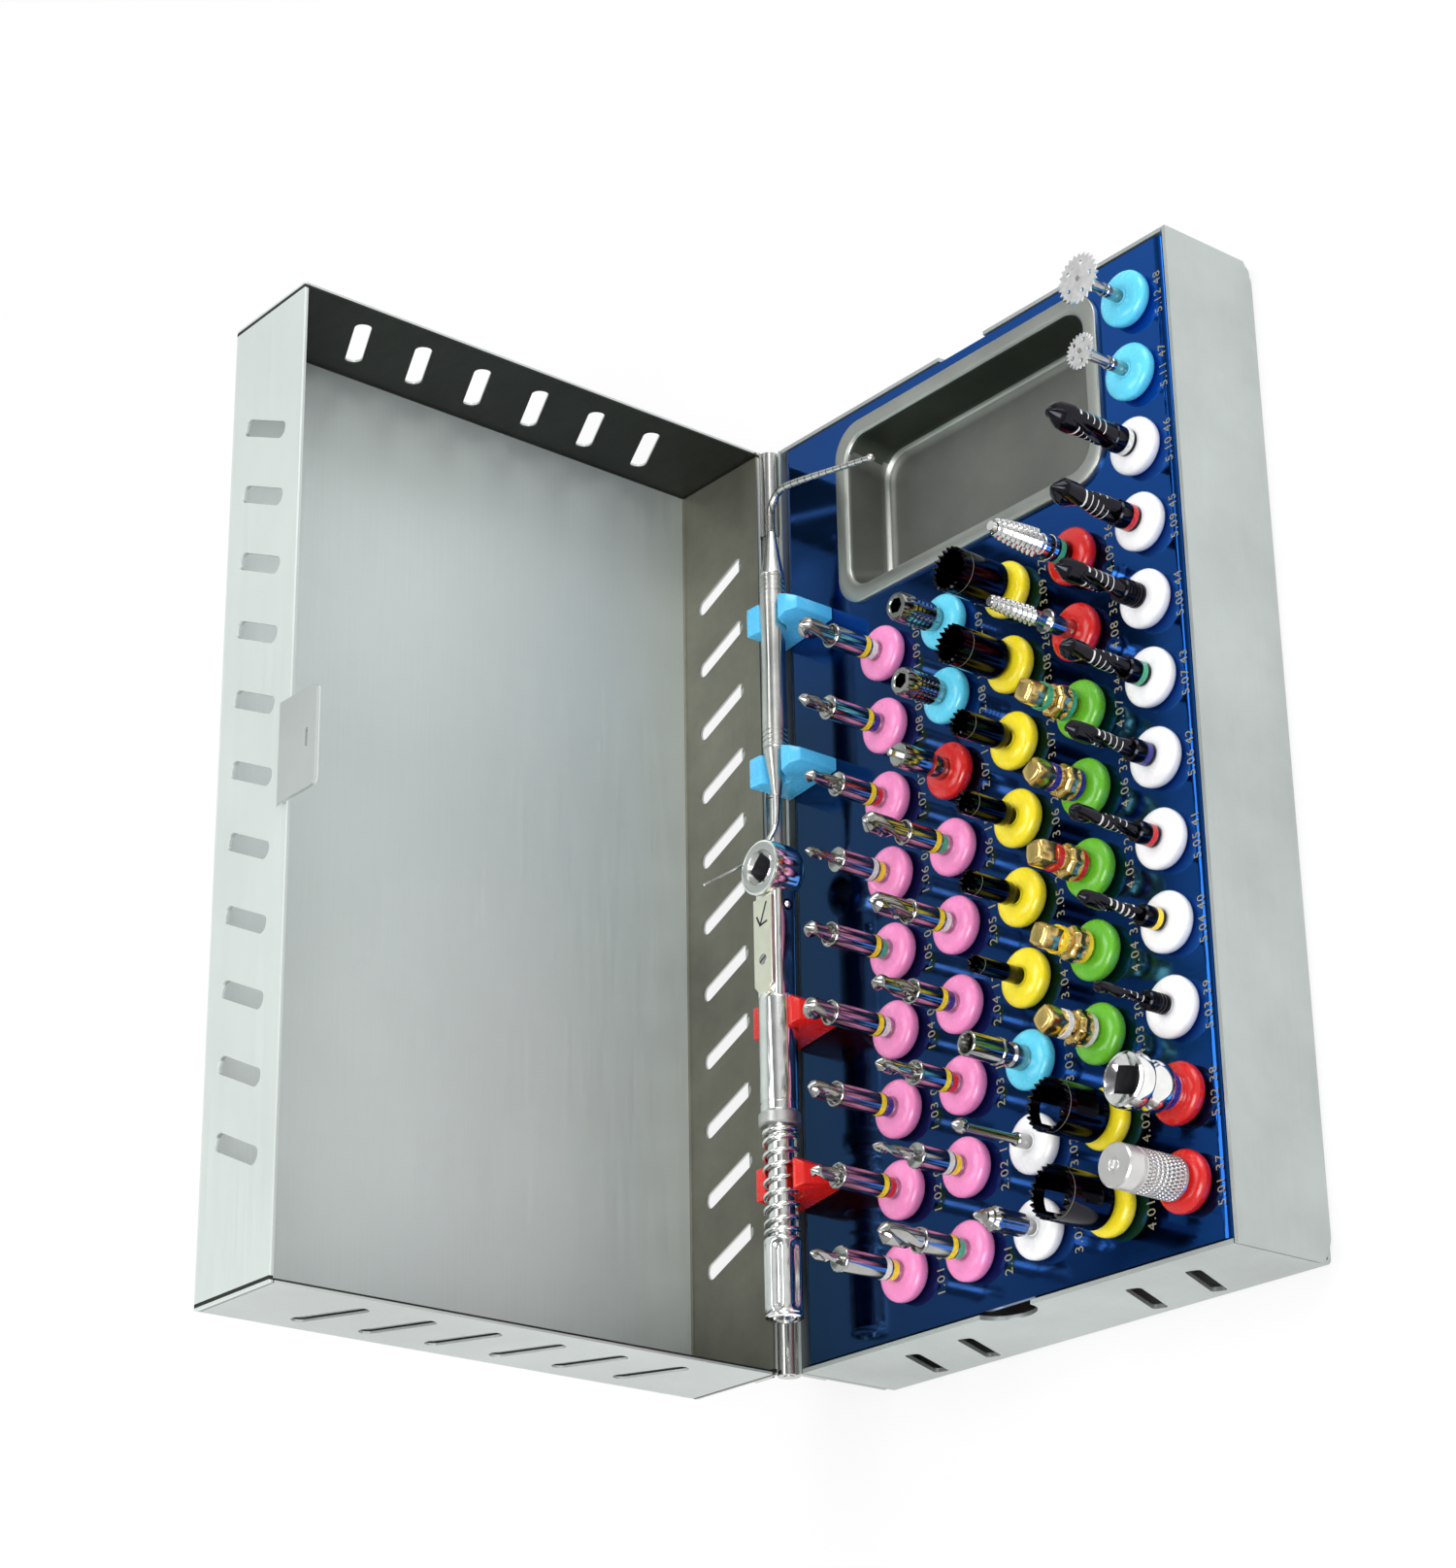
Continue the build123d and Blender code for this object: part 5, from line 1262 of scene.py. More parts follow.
@dataclass
class GoldDrivers(Group):
    """Gold coated drivers: a cushioned square knob, a waist and a scalloped collar."""

    knob: float = 2.2
    knob_height: float = 4.2
    band_height: float = 1.1
    waist_height: float = 1.0
    scallop_height: float = 3.2

    def stem(self, top: float) -> Blank:
        """Turned stem through the whole driver."""
        knob = top - self.knob_height
        waist = knob - self.band_height - self.waist_height
        scallop = waist - self.scallop_height
        foot = scallop - self.band_height
        profile = [*SHANK, (1.6, 0), (1.7, 0.1), (1.7, foot - 0.3), (2.0, foot), (2.7, foot), (2.7, scallop)]
        profile += [(3.1, scallop), (3.2, scallop + 0.15), (1.7, waist), (1.6, waist + 0.3), (1.8, waist + 0.7)]
        profile += [(2.25, waist + self.waist_height), (2.25, knob), (2.1, knob + 0.2)]
        return Blank(Finish.GOLD).pillar(profile)

    def collar(self, bottom: float) -> Blank:
        """Scalloped collar with a rounded shoulder."""
        blank = Blank(Finish.GOLD)
        ring = blank.loop(fluted(3.1, 8, 0.9, 0.1), bottom, 96)
        steps = ((0.15, 1.03), (1.5, 1.0), (0.5, 0.97), (0.4, 0.9), (0.35, 0.75), (0.1, 0.55))
        return blank.close(blank.grow(ring, steps))

    def cushion(self, bottom: float) -> Blank:
        """Rounded square knob."""
        blank = Blank(Finish.GOLD)
        ring = blank.loop(polygonal(self.knob * 0.93, 4, 0.5), bottom, 64)
        steps = ((0.25, 1.07), (1.6, 1.0), (1.5, 0.99), (0.4, 0.95), (0.3, 0.85), (0.1, 0.7))
        return blank.close(blank.grow(ring, steps))

    def build(self) -> None:
        """Make the five drivers."""
        piece = self.piece("gold_coated_drivers")
        for tip, row in ((15.6, 6), (14.6, 5), (15.0, 4), (15.0, 3), (15.0, 2)):
            top = standing(tip)
            knob = top - self.knob_height
            scallop = knob - self.band_height - self.waist_height - self.scallop_height
            piece.add(self.stem(top).moved(seat(3, row)))
            piece.add(self.collar(scallop + 0.05).moved(seat(3, row), 0.9 * row))
            piece.add(self.cushion(knob).moved(seat(3, row), 0.35 + 0.5 * row))
        piece.done(Finish.GOLD, "gold_drivers", smooth=55)


@dataclass
class HandDrivers(Group):
    """Carriers, hex, tube, socket and thumb drivers."""

    def carrier(self, tip: float) -> Blank:
        """Cylinder cut by rings and lengthwise slots, with a hexagon socket in its bright end."""
        top = standing(tip)
        radius = 2.75
        blank = Blank(Finish.BRIGHT, 60)
        profile = [*SHANK, (1.9, 0), (2.2, 0.2), (radius, top / 5)]
        for i in range(5):
            at = top / 4 + i * top / 10
            profile += [(radius, at), (2.25, at + 0.05), (2.25, at + 0.35), (radius, at + 0.4)]
        profile += [(radius, top - 0.7), (radius - 0.35, top), (1.8, top), (1.7, top - 0.12)]
        blank.turned([(0.0, SHANK[0][1]), *profile])
        slotted = fluted(1.0, 6, 0.22, 0.16)
        for vert in blank.shape.verts:
            if math.hypot(vert.co.x, vert.co.y) > radius - 0.01 and vert.co.z < top - 1.5:
                narrow(vert, slotted(bearing(vert)))
        mouth = blank.rim(top - 0.2)
        socket = blank.loop(polygonal(1.38, 6), top - 0.12, 60)
        blank.bridge(mouth, socket)
        return blank.close(blank.pull(socket, -3.4))

    def hex_driver(self, tip: float) -> Blank:
        """Faceted cylinder with a bright chamfer and a small hexagon tip."""
        top = standing(tip)
        blank = Blank(Finish.BRIGHT, 48).pillar([*SHANK, (1.9, 0), (2.04, 0.15), (2.04, 3.0), (1.9, 3.4)])
        ring = blank.loop(polygonal(2.25, 8, 0.7), 3.2, 48)
        blank.close(blank.grow(ring, ((0.2, 1.05), (top - 3.2 - 3.0, 1.0), (0.5, 0.88), (0.05, 0.42))))
        nib = blank.loop(polygonal(0.74, 6), top - 2.3, 36)
        return blank.close(blank.grow(nib, ((2.0, 0.96), (0.3, 0.6))))

    def tube_driver(self, tip: float) -> Blank:
        """Open tube with a ring of retaining balls half way up."""
        top = standing(tip)
        profile = [(0.0, SHANK[0][1]), *SHANK, (2.15, 0), (2.3, 0.15), (2.3, 3.0), (1.84, 3.4), (1.84, top - 8.5)]
        profile += [(2.2, top - 8.3), (2.55, top - 8.0), (2.6, top - 7.6), (2.55, top - 7.2), (2.3, top - 7.0)]
        profile += [(2.3, top - 0.15), (2.15, top), (1.85, top), (1.75, top - 0.15), (1.75, top - 6), (0.0, top - 6)]
        return Blank(Finish.BRIGHT, 36).turned(profile)

    def pointed_mandrel(self, tip: float) -> Blank:
        """Slim stem with a polished bead and a point."""
        top = standing(tip)
        profile = [*SHANK, (1.2, 0), (1.3, 0.1), (1.3, 2.4), (1.1, 2.6), (1.1, 2.9), (0.8, 3.4), (0.72, top - 3.3)]
        profile += [(1.0, top - 3.1), (1.3, top - 2.6), (1.35, top - 2.1), (1.2, top - 1.5), (0.8, top - 0.8)]
        profile += [(0.35, top - 0.2), (0.1, top)]
        return Blank(Finish.BRIGHT, 28).pillar(profile)

    def screw_tool(self, tip: float) -> Blank:
        """Faceted driver with a stepped nose."""
        top = standing(tip)
        blank = Blank(Finish.BRIGHT, 28)
        blank.pillar([*SHANK, (1.3, 0), (1.4, 0.1), (1.4, 1.6), (2.0, 2.0), (2.0, 2.4), (1.7, 2.5)])
        ring = blank.loop(fluted(2.1, 6, 0.55, 0.13), 2.3, 48)
        blank.close(blank.grow(ring, ((top - 8.6, 1.0), (0.4, 1.08), (1.5, 1.0), (0.5, 0.72))))
        return blank.pillar([(1.6, top - 4.2), (1.6, top - 3.4), (1.1, top - 2.8), (1.25, top - 2.2),
                             (0.8, top - 1.4), (0.6, top - 0.6), (0.1, top)])

    def socket_driver(self, tip: float) -> Blank:
        """Mirror-bright driver with a square hole and rounded shoulders."""
        top = standing(tip)
        profile = [(0.0, SHANK[0][1]), *SHANK, (3.2, 0), (3.3, 0.15), *groove(3.3, 0.8), (3.3, 2.4), (3.6, 2.7)]
        profile += [(4.2, 3.0), (4.4, 3.4), (4.4, 5.0), (4.25, 5.6), (3.75, 6.6), (3.75, 7.2), (4.2, 7.7), (4.75, 8.1)]
        profile += [(4.9, 8.6), (4.9, top - 0.8), (4.6, top - 0.2), (4.1, top), (3.7, top - 0.2)]
        blank = Blank(Finish.CHROME, 48).turned(profile)
        mouth = blank.rim(top - 0.3)
        square = blank.loop(polygonal(2.4, 4, 0.08), top - 0.9, 48)
        blank.bridge(mouth, square)
        # Painted shade: the square hole's walls and floor are near black.
        blank.finish = Finish.ENGRAVING_AND_HOLE_SHADE
        return blank.close(blank.pull(square, -6.0))

    def thumb_driver(self, tip: float) -> Blank:
        """Frosted thumb wheel with knurled bands and a ringed dimple."""
        top = standing(tip)
        profile = [*SHANK, (2.28, 0), (2.28, 0.6), (3.6, 0.7), (3.8, 0.9), (3.8, 1.3)]
        for i in range(8):
            at = 1.5 + i * 1.05
            profile += [(3.8, at), (3.62, at + 0.12), (3.62, at + 0.3), (3.8, at + 0.42)]
        profile += [(3.8, top - 4.0), (3.4, top - 3.8), (3.4, top - 3.4), (3.8, top - 3.2), (3.8, top - 0.3)]
        profile += [(3.55, top), (1.3, top), (1.2, top - 0.15), (1.0, top - 0.15), (0.9, top), (0.7, top),
                    (0.5, top - 0.35)]
        return Blank(Finish.KNURL, 64).pillar(profile)

    def build(self) -> None:
        """Make every driver that stands alone."""
        carriers = self.piece("ribbed_carriers")
        for tip, row in ((13.2, 8), (12.7, 7)):
            carriers.add(self.carrier(tip).moved(seat(1, row), 0.3 * row))
        carriers.done(Finish.BRIGHT, "implant_carriers")
        singles = (
            ("hex_nose_driver", "hex_driver", self.hex_driver(16.3), (1, 6), Finish.BRIGHT),
            ("ball_ring_tube", "tube_driver", self.tube_driver(16.4), (2, 2), Finish.BRIGHT),
            ("beaded_mandrel", "pointed_mandrel", self.pointed_mandrel(20.5), (2, 1), Finish.BRIGHT),
            ("stepped_screw_tool", "screw_tool", self.screw_tool(16.4), (2, 0), Finish.BRIGHT),
            ("square_socket_driver", "socket_driver", self.socket_driver(14.3), (4, 1), Finish.CHROME),
        )
        for name, node, blank, place, finish in singles:
            self.piece(name, blank.moved(seat(*place), 0.5)).done(finish, node)
        thumb = self.piece("knurled_thumb_driver")
        thumb.add(self.thumb_driver(17.4).moved(seat(4, 0)))
        thumb.done(Finish.KNURL, "thumb_driver")


@dataclass
class Taps(Group):
    """Thread cutters with lengthwise chip grooves."""

    pitch: float = 1.15
    steps: int = 48

    def thread(self, radius: float, depth: float, bottom: float, turns: int, taper: float) -> Blank:
        """Coarse thread cut by three chip grooves.

        Args:
            radius: Crest radius at the top of the thread.
            depth: Depth of the thread.
            bottom: Height where it starts.
            turns: How many turns.
            taper: Share of the radius lost at the tip.

        Returns:
            The form, open at both ends inside the core.
        """
        blank = Blank(Finish.CHROME)
        profile = []
        for i in range(turns):
            at = bottom + i * self.pitch
            profile += [(radius - depth, at), (radius, at + self.pitch * 0.4), (radius, at + self.pitch * 0.6)]
        profile += [(radius - depth, bottom + turns * self.pitch)]
        verts, edges = blank.line((r, 0, z) for r, z in profile)
        bmesh.ops.spin(blank.shape, geom=verts + edges, cent=(0, 0, 0), axis=(0, 0, 1), angle=TURN,
                       dvec=(0, 0, self.pitch / self.steps), steps=self.steps)
        blank.merged().painted()
        top = bottom + turns * self.pitch
        chip = fluted(1.0, 3, 0.2, 0.2)
        for vert in blank.shape.verts:
            slim = 1 - taper * max(0.0, (vert.co.z - bottom) / (top - bottom)) ** 2
            narrow(vert, chip(bearing(vert)) * slim)
        return blank

    def large(self, tip: float) -> list[Blank]:
        """Wide tap on a black hub with a band."""
        top = standing(tip)
        hub = Blank(Finish.BLACK).pillar([*SHANK, (2.2, 0), (2.3, 0.15), *groove(2.3, 1.6), (2.3, 4.6), (2.0, 5.2)])
        collar = Blank(Finish.CHROME).pillar([(2.0, 3.3), (2.45, 3.4), (2.45, 4.2), (2.1, 4.4), (2.1, 6.2)])
        core = Blank(Finish.CHROME).pillar([(1.9, 6.0), (1.85, 8.0), (1.2, top - 1.2), (0.9, top)])
        turns = int((top - 1.0 - 6.2) / self.pitch)
        return [hub, collar, core, self.thread(2.6, 0.5, 6.2, turns, 0.3)]

    def small(self, tip: float) -> list[Blank]:
        """Slim tap with a bright ring and a square neck."""
        top = standing(tip)
        stem = Blank(Finish.BRIGHT).pillar([*SHANK, (1.7, 0), (1.8, 0.1), (1.8, 5.0), (2.1, 5.0), (2.3, 5.15),
                                            (2.3, 5.8), (2.1, 6.0), (1.4, 6.0), (1.4, 8.4), (1.0, top - 3.0),
                                            (0.9, top - 0.2), (0.7, top)])
        neck = Blank(Finish.BRIGHT)
        neck.close(neck.pull(neck.loop(polygonal(1.3, 4, 0.2), 5.9, 32), 2.4))
        turns = int((top - 0.8 - 8.0) / self.pitch)
        return [stem, neck, self.thread(1.75, 0.38, 8.0, turns, 0.28)]

    def build(self) -> None:
        """Make both taps."""
        for name, node, forms, row in (("threaded_tap_large", "thread_tap_large", self.large(21.3), 8),
                                       ("threaded_tap_small", "thread_tap_small", self.small(22.5), 7)):
            piece = self.piece(name, *(form.moved(seat(3, row)) for form in forms))
            piece.done(Finish.BRIGHT, node)


@dataclass
class Wrench(Group):
    """Torque ratchet wrench lying along the hinge, with its head towards the middle of the case."""

    BODY = "wrench"

    head_x: float = -1.6
    head_radius: float = 5.5
    head_height: float = 7.8
    neck_end_x: float = -26.7
    barrel_end_x: float = -49.5
    collar_end_x: float = -52.1
    sleeve_start_x: float = -73.0
    sleeve_end_x: float = -88.0
    rod_end_x: float = -86.5
    neck_width: float = 6.6
    neck_height: float = 6.8
    barrel_radius: float = 3.6
    waist_reach: float = 9.0
    swell: float = 0.12
    cover_thickness: float = 0.8
    under_cover: float = 0.82
    square_half: float = 2.35
    bore: float = 2.4
    lobe: float = 3.0
    wire: float = 0.45
    coil: float = 3.0
    thread_pitch: float = 0.8
    sleeve_radius: float = 3.5
    flutes: int = 6
    flute_half: float = 0.3
    flute_depth: float = 0.16

    @property
    def crest(self) -> float:
        """Height of the top of the neck's cover."""
        return WRENCH_AXIS[1] + self.neck_height / 2

    def at_head(self, blank: Blank) -> Blank:
        """Put a form on the axis of the head, its zero at the head's middle height."""
        return blank.moved((self.head_x, *WRENCH_AXIS))

    def head(self) -> Blank:
        """Bored head with a domed underside and a seat for the ring."""
        half = self.head_height / 2
        r = self.head_radius
        quarter = [i * math.pi / 16 for i in range(9)]
        profile = [(3.45 + (r - 3.45) * math.sin(a), 2.6 * (1 - math.cos(a)) - half) for a in quarter]
        profile += [(r, half - 0.5), (r - 0.15, half - 0.12), (r - 0.5, half), (4.91, half), (4.91, half - 0.9),
                    (3.95, half - 0.9)]
        profile += [(3.95, -half + 0.9), (3.45, -half + 0.9)]
        return self.at_head(Blank(Finish.CHROME, 64).pipe(profile))

    def neck(self) -> Blank:
        """Neck with a flat top and a round belly, which swells into the head."""
        low, top = WRENCH_AXIS[1] - self.neck_height / 2, self.crest - self.under_cover
        start, end = self.neck_end_x - 0.6, self.head_x - 4.7
        blank = Blank(Finish.CHROME).box((end - start, self.neck_width, top - low),
                                         ((start + end) / 2, WRENCH_AXIS[0], (low + top) / 2))
        for height, radius in ((top, 1.3), (low, 2.6)):
            long = [edge for edge in blank.shape.edges if all(abs(vert.co.z - height) < 0.01 for vert in edge.verts)
                    and abs(edge.verts[0].co.x - edge.verts[1].co.x) > 1]
            blank.soften(long, radius, 6)
        blank.painted()
        waist = self.neck_end_x + self.waist_reach
        for vert in blank.shape.verts:
            along = (vert.co.x - waist) / (self.head_x - waist)
            if along > 0:
                vert.co.y = WRENCH_AXIS[0] + (vert.co.y - WRENCH_AXIS[0]) * (1 + self.swell * along * along)
        return blank

    def barrel(self) -> Blank:
        """Polished barrel with a turned shoulder at the neck and a bead by the collar."""
        r = self.barrel_radius
        start, end = self.barrel_end_x, self.neck_end_x
        profile = [(2.45, start), (r - 0.2, start), (r, start + 0.25), (r, start + 1.6), (r - 0.15, start + 1.7)]
        profile += [(r - 0.15, start + 2.0), (r, start + 2.1), (r, end - 1.0), (r - 0.1, end - 0.4)]
        profile += [(r - 0.6, end + 0.5), (1.0, end + 1.6), (0.0, end + 1.6), (0.0, start + 4.0), (2.45, start + 4.0)]
        return Blank(Finish.CHROME, 48).pipe(profile).laid(WRENCH_AXIS)

    def wheel(self) -> Blank:
        """Ratchet wheel, drawn without teeth, with a lobed square hole with bright lips."""
        half = self.head_height / 2
        blank = Blank(Finish.CHROME)
        square = polygonal(self.square_half, 4, 0.05)

        def lobed(angle: float) -> float:
            """Square opened by a round bore."""
            return max(self.bore, min(square(angle), self.lobe))

        profile = [(3.39, -half), (3.39, -half + 0.96), (3.88, -half + 0.96), (3.88, half - 0.96), (3.39, half - 0.96),
                   (3.39, half - 0.15), (3.25, half)]
        blank.turned(profile, 72)
        top = blank.rim(0.0)
        low = [edge for edge in blank.rim(-self.head_height) if edge.verts[0].co.z < 0]
        hole = blank.loop(lobed, half - 0.55, 72)
        blank.finish = Finish.GROUND
        blank.bridge(top, hole)
        # Painted shade: the bore's wall is near black.
        blank.finish = Finish.ENGRAVING_AND_HOLE_SHADE
        bottom = blank.pull(hole, 1.1 - self.head_height)
        blank.finish = Finish.CHROME
        blank.bridge(low, bottom)
        return self.at_head(blank)

    def ring(self) -> Blank:
        """Frosted ring pressed into the top of the head."""
        half = self.head_height / 2
        profile = [(3.46, half - 0.88), (4.9, half - 0.88), (4.9, half - 0.12), (4.78, half), (3.6, half),
                   (3.46, half - 0.14)]
        return self.at_head(Blank(Finish.GROUND, 64).pipe(profile))

    def cover(self) -> Blank:
        """Pale cover plate whose far end is cut to a blunt point."""
        top = self.crest
        end = self.head_x - 6.0
        blank = Blank(Finish.COVER)
        outline = [(self.neck_end_x, -1.0), (self.neck_end_x + 1.8, -2.6), (end, -2.6), (end, 2.6),
                   (self.neck_end_x + 1.8, 2.6), (self.neck_end_x, 1.0)]
        verts = [blank.shape.verts.new((x, WRENCH_AXIS[0] + y, top - self.cover_thickness)) for x, y in outline]
        face = bmesh.ops.contextual_create(blank.shape, geom=verts)["faces"]
        blank.raised(face, (0, 0, self.cover_thickness))
        blank.soften([edge for edge in blank.shape.edges if all(vert.co.z > top - 0.01 for vert in edge.verts)], 0.18)
        return blank.painted()

    def arrow(self) -> list[Blank]:
        """Plain engraved arrow on the cover plate, turned towards the head."""
        top = self.crest + 0.012
        strokes = (((-8.8, -1.2), (-13.0, 0.6)), ((-13.0, 0.6), (-12.6, -1.3)), ((-13.0, 0.6), (-11.2, 1.5)))
        marks = []
        for (x0, y0), (x1, y1) in strokes:
            blank = Blank(Finish.ENGRAVING_AND_HOLE_SHADE)
            bmesh.ops.create_grid(blank.shape, x_segments=1, y_segments=1, size=0.5)
            length, angle = math.hypot(x1 - x0, y1 - y0), math.atan2(y1 - y0, x1 - x0)
            place = Matrix.Translation(((x0 + x1) / 2, WRENCH_AXIS[0] + (y0 + y1) / 2, top))
            size = Matrix.Diagonal((length + 0.35, 0.45, 1, 1))
            marks.append(blank.placed(place @ Matrix.Rotation(angle, 4, "Z") @ size).painted())
        return marks

    def screw(self) -> list[Blank]:
        """Countersunk screw with a slot."""
        top = self.crest
        place = (self.neck_end_x + 6.8, WRENCH_AXIS[0], 0)
        head = Blank(Finish.BRIGHT, 32).pillar([(0.8, top - 2.4), (0.8, top - 0.9), (1.18, top - 0.75),
                                                (1.18, top - 0.1), (1.05, top + 0.02), (0.5, top + 0.05)])
        # Painted shade: a thin near-black block stands for the screw's slot.
        slot = Blank(Finish.ENGRAVING_AND_HOLE_SHADE).box((0.34, 1.9, 0.16), (0, 0, top - 0.02))
        return [head.moved(place), slot.moved(place, 0.5)]

    def spring(self) -> Blank:
        """Coil spring with closed ends."""
        wire = self.wire
        blank = Blank(Finish.CHROME)
        made = bmesh.ops.create_circle(blank.shape, segments=14, radius=wire)
        place = Matrix.Translation((self.coil, 0, self.sleeve_start_x + wire + 0.05)) @ Matrix.Rotation(QUARTER, 4, "X")
        blank.placed(place)
        loop = list({edge for vert in made["verts"] for edge in vert.link_edges})
        blank.close(loop)
        open_length = self.collar_end_x - self.sleeve_start_x - 2 * wire - 0.1
        closed = 2 * wire + 0.06
        for turns, rise in ((1, closed), (7, open_length - 2 * closed), (1, closed)):
            loop = blank.twist(loop, rise, TURN * turns, 28 * turns)
        return blank.close(loop).laid(WRENCH_AXIS)

    def sleeve(self) -> Blank:
        """Sleeve with long rounded flutes and an open, lipped end."""
        r = self.sleeve_radius
        start, end = self.sleeve_end_x, self.sleeve_start_x
        profile = [(2.45, start), (r - 0.25, start), (r, start + 0.2), (r, start + 0.5), (r - 0.2, start + 0.7)]
        profile += [(r, start + 0.9)]
        profile += [(r, start + 0.9 + i * (end - start - 1.5) / 24) for i in range(1, 25)]
        profile += [(r - 0.2, end - 0.3), (r - 0.5, end), (2.45, end)]
        blank = Blank(Finish.CHROME, 96).pipe(profile)
        for vert in blank.shape.verts:
            radius = math.hypot(vert.co.x, vert.co.y)
            if radius > r - 0.05:
                run = min(vert.co.z - start - 1.6, end - 1.6 - vert.co.z)
                angle = (math.atan2(vert.co.y, vert.co.x) * self.flutes / TURN) % 1.0 - 0.5
                dip = max(0.0, 1 - (angle / self.flute_half) ** 2) * min(1.0, max(0.0, run / 0.8 + 0.4))
                narrow(vert, 1 - self.flute_depth * dip)
        return blank.laid(WRENCH_AXIS)

    def rod(self) -> Blank:
        """Rod with a threaded end, polished where the spring rides on it."""
        start, end = self.rod_end_x, self.barrel_end_x + 3.9
        profile = [(1.9, start), (2.3, start + 0.3)]
        turns = int((self.sleeve_start_x - start - 1.5) / self.thread_pitch)
        for i in range(turns):
            at = start + 0.6 + i * self.thread_pitch
            profile += [(2.35, at), (2.35, at + 0.25), (2.15, at + 0.4), (2.15, at + 0.65)]
        smooth_start = start + 0.6 + turns * self.thread_pitch
        profile += [(2.35, smooth_start), (2.42, smooth_start + 0.4), (2.42, self.barrel_end_x - 0.1)]
        profile += [(2.2, self.barrel_end_x), (2.2, end)]
        return Blank(Finish.CHROME, 40).pillar(profile).laid(WRENCH_AXIS)

    def build(self) -> None:
        """Make every part of the wrench."""
        self.piece("wrench_frame", self.head(), self.neck(), self.barrel()).done(Finish.CHROME, "wrench_body")
        self.piece("ratchet_wheel_lobed", self.wheel(), body="ratchet_wheel").done(Finish.CHROME, "drive_wheel")
        self.piece("frosted_head_ring", self.ring()).done(Finish.GROUND, "head_ring")
        self.piece("pawl_cover_plate", self.cover(), *self.arrow()).done(Finish.GROUND, "wrench_cover")
        self.piece("cover_plate_screw", *self.screw()).done(Finish.BRIGHT, "cover_screw")
        # Painted shadow: a thin black ring round the detent ball stands for the shade where it sits in the neck.
        ball_shadow_ring = Blank(Finish.BLACK, 32).pipe([(0.82, 0.0), (1.15, 0.0), (1.15, 0.06), (0.82, 0.06)])
        ball_shadow_ring.placed(Matrix.Rotation(QUARTER, 4, "X"))
        side = WRENCH_AXIS[0] - self.neck_width / 2 - 0.3
        ball = Blank(Finish.CHROME).ball(0.8, 32, 16).moved((self.head_x - 7.6, side + 0.3, WRENCH_AXIS[1]))
        ball_shadow_ring.moved((self.head_x - 7.6, side + 0.13, WRENCH_AXIS[1]))
        self.piece("spring_detent_ball", ball, ball_shadow_ring).done(Finish.BRIGHT, "detent_ball")
        collar = Blank(Finish.GROUND, 64).pipe([(2.45, self.collar_end_x), (3.7, self.collar_end_x),
                                                (4.0, self.collar_end_x + 0.3), (4.0, self.barrel_end_x - 0.3),
                                                (3.7, self.barrel_end_x), (2.45, self.barrel_end_x)])
        self.piece("scale_collar", collar.laid(WRENCH_AXIS)).done(Finish.GROUND, "torque_collar")
        self.piece("threaded_rod", self.rod()).done(Finish.BRIGHT, "torque_rod")
        coil = self.piece("closed_coil_spring", self.spring()).done(Finish.CHROME, "torque_spring", smooth=60)
        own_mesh(coil)
        self.piece("fluted_sleeve", self.sleeve(), body="sleeve").done(Finish.CHROME, "torque_sleeve", smooth=50)


